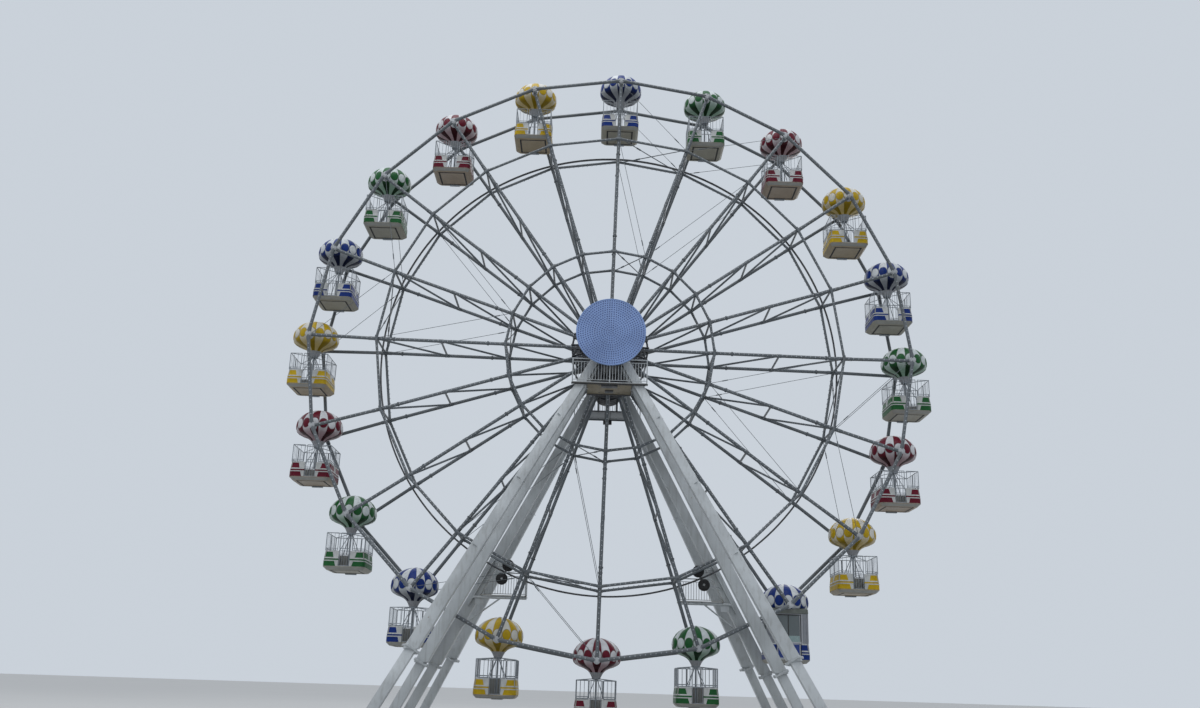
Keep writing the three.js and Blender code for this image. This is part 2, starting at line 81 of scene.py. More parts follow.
class Bench:
    """The steps of the work, each with Blender's own modelling tools."""

    @staticmethod
    def pick(*pieces: Piece) -> None:
        """Selects these pieces alone, with the first one active.

        Args:
            pieces: The pieces, or none where a new one is to be added.
        """
        bpy.ops.object.select_all(action="DESELECT")
        for piece in pieces:
            piece.select_set(True)
        if pieces:
            bpy.context.view_layer.objects.active = pieces[0]

    @staticmethod
    def settle() -> Piece:
        """Moves the active object's place, turn and scale into its mesh, and returns it."""
        bpy.ops.object.transform_apply(location=True, rotation=True, scale=True)
        return bpy.context.object

    @staticmethod
    def edit(piece: Piece, mode: str = "FACE", whole: bool = True) -> bmesh.types.BMesh:
        """Opens a piece in edit mode.

        Args:
            piece: The piece to shape.
            mode: What is selected: VERT, EDGE or FACE.
            whole: Whether all of it is selected at first, or nothing.

        Returns:
            The mesh that is being edited.
        """
        Bench.pick(piece)
        bpy.ops.object.mode_set(mode="EDIT")
        bpy.ops.mesh.select_mode(type=mode)
        bpy.ops.mesh.select_all(action="SELECT" if whole else "DESELECT")
        return bmesh.from_edit_mesh(piece.data)

    @staticmethod
    def close() -> None:
        """Leaves edit mode."""
        bpy.ops.object.mode_set(mode="OBJECT")

    @staticmethod
    def place(piece: Piece, matrix: Matrix) -> Piece:
        """Moves a piece by a matrix and settles it there.

        Args:
            piece: The piece, settled at the origin.
            matrix: The move.

        Returns:
            The piece.
        """
        Bench.pick(piece)
        piece.matrix_world = matrix
        return Bench.settle()

    @staticmethod
    def shift(piece: Piece, x: float = 0.0, y: float = 0.0, z: float = 0.0) -> Piece:
        """Moves a piece along the axes."""
        return Bench.place(piece, Matrix.Translation((x, y, z)))

    @staticmethod
    def copy(piece: Piece) -> Piece:
        """Copies a piece with a mesh of its own.

        Args:
            piece: The piece to copy.

        Returns:
            The copy.
        """
        Bench.pick(piece)
        bpy.ops.object.duplicate(linked=False)
        return bpy.context.object

    @staticmethod
    def mirror(piece: Piece, axis: Vector) -> None:
        """Turns a piece into its mirror image along an axis."""
        Bench.place(piece, Matrix.Scale(-1, 4, axis))
        Bench.outward(piece)

    @staticmethod
    def join(pieces: Iterable[Piece]) -> Piece:
        """Joins pieces into the first one.

        Args:
            pieces: One piece or more.

        Returns:
            The joined piece.
        """
        pieces = list(pieces)
        Bench.pick(*pieces)
        if len(pieces) > 1:
            bpy.ops.object.join()
        return bpy.context.object

    @staticmethod
    def rod(start: Point, end: Point, radius: float, sides: int = 10, far: float | None = None) -> Piece:
        """A straight round bar between two points.

        Args:
            start: The middle of one end.
            end: The middle of the other end.
            radius: Its radius at the start.
            sides: How many faces it has round it.
            far: Its radius at the end, where it tapers.

        Returns:
            The bar.
        """
        a, b = Vector(start), Vector(end)
        run = b - a
        Bench.pick()
        bpy.ops.mesh.primitive_cone_add(
            vertices=sides,
            radius1=radius,
            radius2=radius if far is None else far,
            depth=run.length,
            location=(a + b) / 2,
            rotation=run.to_track_quat("Z", "Y").to_euler(),
        )
        return Bench.settle()

    @staticmethod
    def block(low: Point, high: Point, bevel: float = 0.0) -> Piece:
        """A box between two corners.

        Args:
            low: The corner where each coordinate is least.
            high: The corner where each is greatest.
            bevel: How far its edges are bevelled.

        Returns:
            The box.
        """
        a, b = Vector(low), Vector(high)
        Bench.pick()
        bpy.ops.mesh.primitive_cube_add(size=1, location=(a + b) / 2)
        piece = bpy.context.object
        piece.scale = b - a
        Bench.settle()
        if bevel:
            Bench.bevel(piece, bevel)
        return piece

    @staticmethod
    def slab(middle: Point, half: Point, bevel: float = 0.0) -> Piece:
        """A box round a point, by its half lengths."""
        low, high = [[m + side * h for m, h in zip(middle, half)] for side in SIDES]
        return Bench.block(low, high, bevel)

    @staticmethod
    def bevel(piece: Piece, size: float) -> None:
        """Bevels every edge of a piece.

        Args:
            piece: The piece.
            size: How far from the edge the bevel starts.
        """
        Bench.edit(piece)
        bpy.ops.mesh.bevel(offset=size, segments=2, affect="EDGES")
        Bench.close()

    @staticmethod
    def rise(piece: Piece, sections: Sequence[tuple[Point, float, float]]) -> None:
        """Draws the selected face of a piece on, section by section, into a closed form.

        Args:
            piece: The piece, open in edit mode, whose selected face is the first section.
            sections: The middle, half length along X and half length along Y of each section.
        """
        for (a, x0, y0), (b, x1, y1) in zip(sections, sections[1:]):
            move = Vector([end - start for start, end in zip(a, b)])
            bpy.ops.mesh.extrude_region_move(TRANSFORM_OT_translate={"value": move})
            chosen = [v.co for v in bmesh.from_edit_mesh(piece.data).verts if v.select]
            middle = sum(chosen, Vector()) / len(chosen)
            bpy.ops.transform.resize(value=(x1 / x0, y1 / y0, 1), center_override=middle)
        Bench.close()
        Bench.outward(piece)

    @staticmethod
    def outward(piece: Piece) -> None:
        """Merges a piece's doubled points and turns its faces outwards.

        Args:
            piece: The piece.
        """
        Bench.edit(piece)
        bpy.ops.mesh.remove_doubles(threshold=1e-5)
        bpy.ops.mesh.normals_make_consistent(inside=False)
        Bench.close()

    @staticmethod
    def plate(middle: Point, half_x: float, half_y: float) -> Piece:
        """A level plate, as the first section of a form.

        Args:
            middle: Its middle.
            half_x: Half its length along X.
            half_y: Half its length along Y.

        Returns:
            The plate.
        """
        Bench.pick()
        bpy.ops.mesh.primitive_plane_add(size=2, location=middle)
        bpy.context.object.scale = (half_x, half_y, 1)
        return Bench.settle()

    @staticmethod
    def stack(levels: Sequence[tuple[float, float, float]], corner: float) -> Piece:
        """A form drawn up from a plate with rounded corners.

        Args:
            levels: The height, half length along X and half length along Y of each section.
            corner: The radius of the first section's corners.

        Returns:
            The closed form.
        """
        sections = [((0, 0, z), x, y) for z, x, y in levels]
        piece = Bench.plate(*sections[0])
        Bench.edit(piece, "VERT")
        bpy.ops.mesh.bevel(offset=corner, segments=5, affect="VERTICES")
        bpy.ops.mesh.select_mode(type="FACE")
        bpy.ops.mesh.select_all(action="SELECT")
        Bench.rise(piece, sections)
        return piece

    @staticmethod
    def turned(profile: Sequence[Span], sides: int, axis: Vector = Z_AXIS) -> Piece:
        """A round form drawn up from a disc.

        Args:
            profile: The place along the axis and the radius of each section.
            sides: How many faces the form has round it.
            axis: The direction of its axis, through the origin.

        Returns:
            The closed form.
        """
        start, radius = profile[0]
        Bench.pick()
        spot = (0, 0, start)
        bpy.ops.mesh.primitive_circle_add(vertices=sides, radius=radius, fill_type="NGON", location=spot)
        piece = Bench.settle()
        Bench.edit(piece)
        Bench.rise(piece, [((0, 0, z), r, r) for z, r in profile])
        return Bench.place(piece, axis.to_track_quat("Z", "Y").to_matrix().to_4x4())

    @staticmethod
    def hoop(radius: float, tube: float, y: float, steps: Sequence[int], stretch: float = 1.0) -> Piece:
        """A round tube bent into a ring round the hub's axis.

        Args:
            radius: The radius of the tube's middle.
            tube: The tube's own radius.
            y: Its depth.
            steps: How many faces it has along the ring and round the tube.
            stretch: How much wider than round the tube is, along the axis.

        Returns:
            The ring.
        """
        Bench.pick()
        bpy.ops.mesh.primitive_torus_add(
            major_radius=radius,
            minor_radius=tube,
            major_segments=steps[0],
            minor_segments=steps[1],
            location=(0, y, 0),
            rotation=(math.pi / 2, 0, 0),
        )
        bpy.context.object.scale = (1, 1, stretch)
        return Bench.settle()

    @staticmethod
    def row(piece: Piece, count: int, step: Point) -> Piece:
        """Repeats a piece in a straight row.

        Args:
            piece: The first piece of the row.
            count: How many there are in all.
            step: The way from each to the next.

        Returns:
            The row, as one piece.
        """
        Bench.pick(piece)
        array = piece.modifiers.new("row", "ARRAY")
        array.count = count
        array.use_relative_offset = False
        array.use_constant_offset = True
        array.constant_offset_displace = step
        bpy.ops.object.modifier_apply(modifier=array.name)
        return piece

    @staticmethod
    def round(piece: Piece, count: int, axis: Vector = Y_AXIS, centre: Point = ORIGIN) -> Piece:
        """Repeats a piece at equal steps round an axis.

        Args:
            piece: The first piece of the circle.
            count: How many there are in all.
            axis: The axis's direction.
            centre: A point on the axis.

        Returns:
            The circle, as one piece.
        """
        Bench.edit(piece)
        angle = 2 * math.pi * (count - 1) / count
        bpy.ops.mesh.spin(steps=count - 1, dupli=True, angle=angle, center=centre, axis=axis)
        Bench.close()
        return piece

    @staticmethod
    def cut(piece: Piece, cutter: Piece) -> None:
        """Cuts one piece out of another and deletes the cutter.

        Args:
            piece: The piece that keeps the rest.
            cutter: The piece that is cut out.
        """
        Bench.pick(piece)
        boolean = piece.modifiers.new("cut", "BOOLEAN")
        boolean.operation = "DIFFERENCE"
        boolean.solver = "EXACT"
        boolean.object = cutter
        bpy.ops.object.modifier_apply(modifier=boolean.name)
        bpy.data.objects.remove(cutter)

    @staticmethod
    def soften(piece: Piece, degrees: float = 40) -> None:
        """Shades a piece smooth where its faces meet at less than an angle."""
        Bench.pick(piece)
        bpy.ops.object.shade_smooth_by_angle(angle=math.radians(degrees))

    @staticmethod
    def lamps(start: Point, end: Point, out: Vector) -> Piece:
        """A string of small round lamps along a line.

        Args:
            start: The beginning of the line, on the tube that carries them.
            end: The end of the line.
            out: The direction that the lamps face.

        Returns:
            The lamps, as one piece.
        """
        spacing, radius, top = 0.2, 0.03, 0.0165
        a, b = Vector(start), Vector(end)
        count = max(2, int((b - a).length / spacing))
        step = (b - a) / count
        foot = a + step / 2
        lamp = Bench.rod(foot, foot + out.normalized() * radius, radius, 6, top)
        return Bench.row(dress(lamp, "lamp"), count, step)


class Nodes:
    """A material's node tree, with short ways to add what the finishes share."""

    def __init__(self, name: str) -> None:
        """Starts a material with a Principled shader.

        Args:
            name: The material's name.
        """
        self.material = bpy.data.materials.new(name)
        self.material.use_nodes = True
        self.tree = self.material.node_tree
        self.shader = self.tree.nodes["Principled BSDF"]

    def add(
        self, kind: str, inputs: dict[str | int, object] | None = None, **settings: object
    ) -> bpy.types.Node:
        """Adds a node.

        Args:
            kind: The node's type.
            inputs: What goes into each of its sockets: a value, or another node's output.
            settings: The node's own settings.

        Returns:
            The node.
        """
        node = self.tree.nodes.new(kind)
        for key, value in settings.items():
            setattr(node, key, value)
        for key, value in (inputs or {}).items():
            self.feed(node.inputs[key], value)
        return node

    def feed(self, socket: Socket, value: object) -> None:
        """Links a socket to an output, or sets its value.

        Args:
            socket: The socket.
            value: A number, a colour, a vector or another node's output.
        """
        if isinstance(value, Socket):
            self.tree.links.new(value, socket)
        else:
            socket.default_value = value

    def math(self, operation: str, *values: object) -> Socket:
        """The result of a sum on one to three values."""
        return self.add("ShaderNodeMath", dict(enumerate(values)), operation=operation).outputs[0]

    def noise(self, scale: float, stretch: Point = (1, 1, 1), detail: float = 4.0) -> Socket:
        """Soft noise over the piece, from 0 to 1.

        Args:
            scale: How fine the noise is.
            stretch: How much finer it is along each axis.
            detail: How many finer layers it has.

        Returns:
            The noise.
        """
        coordinates = self.add("ShaderNodeTexCoord").outputs["Object"]
        place = self.add("ShaderNodeMapping", {"Vector": coordinates, "Scale": stretch}).outputs[0]
        noise = self.add("ShaderNodeTexNoise", {"Vector": place, "Scale": scale, "Detail": detail})
        return noise.outputs["Fac"]

    def ramp(self, value: object, low: float, high: float, bottom: float = 0.0, top: float = 1.0) -> Socket:
        """A value stretched from one range to another, and kept inside it."""
        inputs = {"Value": value, "From Min": low, "From Max": high, "To Min": bottom, "To Max": top}
        return self.add("ShaderNodeMapRange", inputs).outputs[0]

    def worn(self, scale: float) -> Socket:
        """Patches of wear, from 0 to 1."""
        return self.ramp(self.noise(scale, detail=7), 0.3, 0.75)

    def streaks(self, scale: float, low: float, high: float, share: float) -> Socket:
        """Streaks left by rain, which run down the piece, from 0 to a share."""
        return self.ramp(self.noise(scale, (2.5, 2.5, 0.3), 8), low, high, 0, share)

    def between(self, value: object, low: object, high: object) -> Socket:
        """1 where a value lies between two others, and 0 elsewhere."""
        above, below = self.math("GREATER_THAN", value, low), self.math("LESS_THAN", value, high)
        return self.math("MULTIPLY", above, below)

    def mix(self, share: object, first: object, second: object) -> Socket:
        """A colour mixed from two.

        Args:
            share: How much of the second colour there is, from 0 to 1.
            first: The first colour.
            second: The second colour.

        Returns:
            The mixed colour.
        """
        node = self.add("ShaderNodeMix", data_type="RGBA")
        for socket, value in ((node.inputs[0], share), (node.inputs[6], first), (node.inputs[7], second)):
            self.feed(socket, (*value, 1) if isinstance(value, tuple) else value)
        return node.outputs[2]

    def pattern(self) -> tuple[Socket, Socket]:
        """The piece's own UV map.

        Returns:
            Its first and its second value.
        """
        place = self.add("ShaderNodeUVMap", uv_map="pattern").outputs[0]
        split = self.add("ShaderNodeSeparateXYZ", {0: place})
        return split.outputs[0], split.outputs[1]

    def surface(self, colour: Socket, grain: float, rough: Span, **settings: float) -> None:
        """Gives the shader its colour, an uneven roughness and its plain settings.

        Args:
            colour: The colour.
            grain: How fine the patches of roughness are.
            rough: The least and the greatest roughness.
            settings: The shader's other values, by their names with underscores.
        """
        self.feed(self.shader.inputs["Base Color"], colour)
        self.feed(self.shader.inputs["Roughness"], self.ramp(self.noise(grain), 0.3, 0.7, *rough))
        for name, value in settings.items():
            self.shader.inputs[name.replace("_", " ")].default_value = value

    def bump(self, height: object, distance: float, strength: float) -> bpy.types.Material:
        """Gives the surface fine relief.

        Args:
            height: The relief's height.
            distance: How high it is at most.
            strength: How strongly it shows.

        Returns:
            The finished material.
        """
        node = self.add("ShaderNodeBump", {"Height": height, "Distance": distance, "Strength": strength})
        self.feed(self.shader.inputs["Normal"], node.outputs[0])
        return self.material


def shade(colour: Colour, share: float) -> Colour:
    """A colour made darker by one share in all its parts."""
    return tuple(part * share for part in colour)


def mirrored(profile: Sequence[Span]) -> list[Span]:
    """The mirror image of a profile along its axis, in reverse order."""
    return [(-place, radius) for place, radius in reversed(profile)]


def leaning(place: Vector, run: Vector) -> Matrix:
    """The move that stands a piece at a place, with its Z axis along a run."""
    return Matrix.Translation(place) @ run.normalized().to_track_quat("Z", "Y").to_matrix().to_4x4()


@dataclass(frozen=True)
class Paint:
    """Sprayed steel, with rain streaks, faded patches and a few chips down to the primer."""

    name: str
    colour: Colour
    grime: float = 0.35
    chips: float = 0.0
    roughness: float = 0.42
    metallic: float = 0.0
    dirt: Colour = (0.12, 0.11, 0.09)
    primer: Colour = (0.16, 0.07, 0.03)

    def build(self) -> bpy.types.Material:
        """Builds the material.

        Returns:
            The finished material.
        """
        nodes = Nodes(self.name)
        faded = tuple(min(1.0, part * 1.12 + 0.01) for part in self.colour)
        patches = nodes.ramp(nodes.noise(0.7, detail=6), 0.35, 0.68)
        base = nodes.mix(patches, shade(self.colour, 0.84), faded)
        rain = nodes.ramp(nodes.noise(3.0, (3.2, 3.2, 0.22), 8), 0.5, 0.75, 0, self.grime)
        chipped = nodes.ramp(nodes.noise(9.0, detail=8), 0.72, 0.735, 0, self.chips)
        colour = nodes.mix(chipped, nodes.mix(rain, base, self.dirt), self.primer)
        rough = (self.roughness - 0.08, self.roughness + 0.14)
        nodes.surface(colour, 14.0, rough, Metallic=self.metallic, Coat_Weight=0.12)
        return nodes.bump(nodes.math("ADD", nodes.noise(45.0), nodes.noise(4.0)), 0.0015, 0.5)


@dataclass(frozen=True)
class BalloonSkin:
    """Moulded balloon: gores in a colour and white, with a ring of discs in the other one."""

    name: str
    colour: Colour
    painted_light_tint: Span = (0.03, 0.18)
    painted_shade_share: float = 0.22
    gore: float = 0.377
    disc: float = 0.18
    disc_height: float = 0.21
    stretch: float = 0.86
    neck: float = -0.42
    neck_colour: Colour = (0.33, 0.34, 0.36)
    whites: tuple[Colour, Colour] = ((0.48, 0.51, 0.53), (0.66, 0.69, 0.71))
    painted_shade_dim: float = 0.5
    grime: Colour = (0.07, 0.07, 0.065)

    def away(self, nodes: Nodes, across: Socket, height: Socket) -> Socket:
        """How far a point is from the middle of the disc on its gore.

        Args:
            nodes: The material's nodes.
            across: The point's place across the gore, from -0.5 to 0.5.
            height: Its height.

        Returns:
            The distance.
        """
        wide = nodes.math("MULTIPLY", across, self.gore)
        up = nodes.math("MULTIPLY", nodes.math("SUBTRACT", height, self.disc_height), self.stretch)
        square = nodes.math("ADD", nodes.math("MULTIPLY", wide, wide), nodes.math("MULTIPLY", up, up))
        return nodes.math("SQRT", square)

    def white(self, nodes: Nodes, worn: Socket, height: Socket) -> Socket:
        """The white, with painted shade that dims it and painted light that tints it with the balloon's
        colour, low on the balloon.

        Args:
            nodes: The material's nodes.
            worn: The patches of wear.
            height: The point's height.

        Returns:
            The white.
        """
        # Painted shade: the white dims to a share of itself towards the bottom of the balloon.
        low = nodes.mix(worn, *[shade(white, self.painted_shade_dim) for white in self.whites])
        white = nodes.mix(nodes.ramp(height, 0.12, -0.2), nodes.mix(worn, *self.whites), low)
        # Painted light: low on the balloon the white takes on the balloon's colour, as if lit through the
        # coloured skin.
        painted_light_colour = shade(self.colour, 0.75 / max(self.colour))
        return nodes.mix(nodes.ramp(height, 0.1, -0.25, *self.painted_light_tint), white, painted_light_colour)

    def build(self) -> bpy.types.Material:
        """Builds the material, whose pattern lies on the balloon's own UV map.

        Returns:
            The finished material.
        """
        nodes = Nodes(self.name)
        gores, height = nodes.pattern()
        worn = nodes.worn(2.2)
        odd = nodes.math("GREATER_THAN", nodes.math("MODULO", gores, 2.0), 1.0)
        across = nodes.math("SUBTRACT", nodes.math("FRACT", gores), 0.5)
        away = self.away(nodes, across, height)
        above_neck = nodes.math("GREATER_THAN", height, self.neck)
        disc = nodes.math("LESS_THAN", away, self.disc)
        painted = nodes.math("ABSOLUTE", nodes.math("SUBTRACT", odd, disc))
        tint = nodes.mix(worn, shade(self.colour, 0.72), self.colour)
        # Painted shade: the coloured gores darken to a share of their colour towards the bottom of the
        # balloon.
        tint = nodes.mix(nodes.ramp(height, 0.02, -0.16), tint, shade(self.colour, self.painted_shade_share))
        white = nodes.mix(above_neck, self.neck_colour, self.white(nodes, worn, height))
        colour = nodes.mix(nodes.math("MULTIPLY", painted, above_neck), white, tint)
        seam = nodes.ramp(nodes.math("ABSOLUTE", across), 0.47, 0.495)
        edge = nodes.ramp(nodes.math("ABSOLUTE", nodes.math("SUBTRACT", away, self.disc)), 0.006, 0.016, 1, 0)
        lines = nodes.math("MAXIMUM", nodes.math("MULTIPLY", seam, 0.5), nodes.math("MULTIPLY", edge, 0.55))
        grime = nodes.math("MAXIMUM", lines, nodes.streaks(5.0, 0.52, 0.8, 0.26))
        nodes.surface(nodes.mix(grime, colour, self.grime), 11.0, (0.26, 0.48), Specular_IOR_Level=0.2)
        grooves = nodes.math("MAXIMUM", seam, edge)
        grain = nodes.math("MULTIPLY", nodes.noise(6.0), 0.3)
        return nodes.bump(nodes.math("SUBTRACT", grain, grooves), 0.004, 0.6)


@dataclass(frozen=True)
class BasketShell:
    """Moulded basket: two rows of coloured panels on cream, which run round its sides."""

    name: str
    colour: Colour
    under: Colour = (0.30, 0.285, 0.23)
    creams: tuple[Colour, Colour] = ((0.38, 0.395, 0.39), (0.545, 0.56, 0.555))
    grime: Colour = (0.07, 0.065, 0.055)
    front: float = 0.855
    length: float = 1.79
    upper: Span = (-1.71, -1.495)
    lower: Span = (-2.06, -1.865)
    line: Span = (-1.821, -1.763)
    hull: float = -2.068
    upper_end: float = 0.42
    lower_end: float = 0.53
    gap: float = 0.1
    upper_lean: float = 0.32
    lower_lean: float = 0.28

    def panels(self, nodes: Nodes, way: Socket, height: Socket) -> Socket:
        """Where the shell is painted.

        Args:
            nodes: The material's nodes.
            way: The point's way round the shell, from the front's middle.
            height: Its height.

        Returns:
            1 on the panels and on the line between their rows, and 0 elsewhere.
        """
        corner, back = self.front, self.front + self.length
        middle = corner + self.length / 2
        painted = nodes.between(height, *self.line)
        for row, lean, first, last in (
            (self.upper, self.upper_lean, corner - self.upper_end, middle - self.gap),
            (self.upper, self.upper_lean, middle + self.gap, back + self.upper_end),
            (self.lower, self.lower_lean, corner - self.lower_end, back + self.lower_end),
        ):
            slant = nodes.math("MULTIPLY", nodes.math("SUBTRACT", height, row[0]), lean)
            along = nodes.between(way, nodes.math("ADD", slant, first), nodes.math("SUBTRACT", last, slant))
            panel = nodes.math("MULTIPLY", along, nodes.between(height, *row))
            painted = nodes.math("MAXIMUM", painted, panel)
        return painted

    def build(self) -> bpy.types.Material:
        """Builds the material. Its UV map gives the way round from the front's middle, and the height.

        Returns:
            The finished material.
        """
        nodes = Nodes(self.name)
        way, height = nodes.pattern()
        worn = nodes.worn(3.0)
        painted = self.panels(nodes, way, height)
        tint = nodes.mix(worn, shade(self.colour, 0.7), self.colour)
        colour = nodes.mix(painted, nodes.mix(worn, *self.creams), tint)
        below = nodes.ramp(height, self.hull + 0.01, self.hull - 0.01)
        colour = nodes.mix(below, colour, nodes.mix(worn, shade(self.under, 0.84), self.under))
        dirty = nodes.mix(nodes.streaks(6.0, 0.5, 0.78, 0.2), colour, self.grime)
        nodes.surface(dirty, 12.0, (0.28, 0.5), Specular_IOR_Level=0.2)
        relief = nodes.math("SUBTRACT", nodes.noise(7.0), nodes.math("MULTIPLY", painted, 0.4))
        return nodes.bump(relief, 0.003, 0.5)


@dataclass(frozen=True)
class Plastic:
    """Moulded plastic or rubber, with fine grain and dust."""

    name: str
    colour: Colour
    roughness: float = 0.5
    grain: float = 60.0
    dust: float = 0.2
    transmission: float = 0.0

    def build(self) -> bpy.types.Material:
        """Builds the material.

        Returns:
            The finished material.
        """
        nodes = Nodes(self.name)
        dusty = nodes.ramp(nodes.noise(5.0, detail=7), 0.4, 0.75, 0, self.dust)
        pale = tuple(part * 0.6 + 0.2 for part in self.colour)
        rough = (self.roughness * 0.8, min(1.0, self.roughness * 1.25))
        colour = nodes.mix(dusty, self.colour, pale)
        nodes.surface(colour, 17.0, rough, Transmission_Weight=self.transmission)
        return nodes.bump(nodes.noise(self.grain), 0.0008, 0.6)


FINISHES = {
    "tower": Paint("tower_paint", (0.43, 0.46, 0.475), 0.3, 0.5),
    "wheel": Paint("wheel_paint", (0.105, 0.123, 0.138), 0.4, 0.3, 0.4),
    "hub": Paint("hub_paint", (0.055, 0.06, 0.068), 0.5, 0.5, metallic=0.2),
    "cage": Paint("cage_paint", (0.24, 0.27, 0.30), 0.2, roughness=0.35),
    "fitting": Paint("fitting_paint", (0.42, 0.44, 0.46), 0.3, roughness=0.4),
    "deck": Paint("deck_steel", (0.25, 0.21, 0.14), 0.5, 0.7, 0.6, 0.1),
    "panel": Paint("light_panel", (0.20, 0.31, 0.58), 0.12, roughness=0.34),
    "galvanised": Paint("galvanised_steel", (0.42, 0.44, 0.45), 0.4, roughness=0.45, metallic=0.4),
    "lamp": Plastic("lamp_cap", (0.38, 0.41, 0.44), 0.2, dust=0.3),
    "dot": Plastic("panel_lamp", (0.045, 0.07, 0.22), 0.2),
    "rubber": Plastic("tyre_rubber", (0.006, 0.006, 0.007), 0.75, 90.0, 0.08),
    "black": Plastic("black_housing", (0.015, 0.016, 0.018), 0.45),
    "glass": Plastic("cabin_glass", (0.19, 0.225, 0.235), 0.1, dust=0.1, transmission=0.35),
    "low_pane": Plastic("cabin_low_pane", (0.24, 0.33, 0.33), 0.25, dust=0.1),
    "cabin_wall": Plastic("cabin_wall", (0.22, 0.235, 0.26), 0.35, dust=0.3),
    "door": Plastic("cabin_door", Hue.BLUE.value, 0.35, dust=0.1),
    "roof": Plastic("cabin_roof", (0.10, 0.115, 0.10), 0.5, dust=0.4),
    "lining": Plastic("basket_lining", (0.27, 0.27, 0.25), 0.6, dust=0.5),
    "groove": Plastic("panel_groove", (0.016, 0.015, 0.014), 0.7, dust=0.1),
}
FINISH = {use: finish.build() for use, finish in FINISHES.items()}


def dress(piece: Piece, finish: str) -> Piece:
    """Gives a piece, or a part of one, its finish.

    Args:
        piece: The piece.
        finish: The use that the finish is listed under.

    Returns:
        The piece.
    """
    piece.data.materials.clear()
    piece.data.materials.append(FINISH[finish])
    return piece


def dress_rest(pieces: Iterable[Piece], finish: str) -> None:
    """Gives a finish to the pieces that have none yet.

    Args:
        pieces: The pieces.
        finish: The use that the finish is listed under.
    """
    for piece in pieces:
        if not piece.data.materials:
            dress(piece, finish)


def deliver(piece: Piece, name: str, body: str, nodes: Sequence[str] = ()) -> None:
    """Names a finished piece and hands it to the body that carries it.

    Args:
        piece: The modelled piece.
        name: Its name in the model.
        body: The body that it moves with.
        nodes: The plain solids that it stands for.
    """
    piece.name = name
    piece.data.name = name
    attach(piece, body)
    if nodes:
        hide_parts(*nodes)
    LOG.info("%s: %d faces on %s", name, len(piece.data.polygons), body)


@dataclass(frozen=True)
class WheelPlan:
    """The wheel's driving dimensions."""

    hub_z: float = 15.5
    count: int = 20
    turn: float = math.radians(0.75)
    tip: float = 12.8
    mid: float = 9.95
    post: float = 7.2
    inner: float = 4.45
    kink: float = 10.25
    chord_y: float = 1.05
    tip_y: float = 1.208
    rim_y: float = 1.3455
    ring_y: float = 1.13
    drive_radius: float = 10.15
    drive_y: float = 1.28
    tube: float = 0.072
    brace: float = 0.045

    @property
    def step(self) -> float:
        """The angle between two spokes."""
        return 2 * math.pi / self.count

    @property
    def seat(self) -> Matrix:
        """Where the wheel stands, from its own centre."""
        return Matrix.Translation((0, 0, self.hub_z)) @ Matrix.Rotation(self.turn, 4, "Y")

    def at(self, angle: float, radius: float, y: float) -> Vector:
        """A point on the wheel, from its centre."""
        return Vector((radius * math.sin(angle), y, radius * math.cos(angle)))

    def axle(self, number: int) -> Vector:
        """The middle of a gondola's axle, in the standing machine."""
        return self.seat @ self.at(number * self.step, self.tip, 0)


PLAN = WheelPlan()


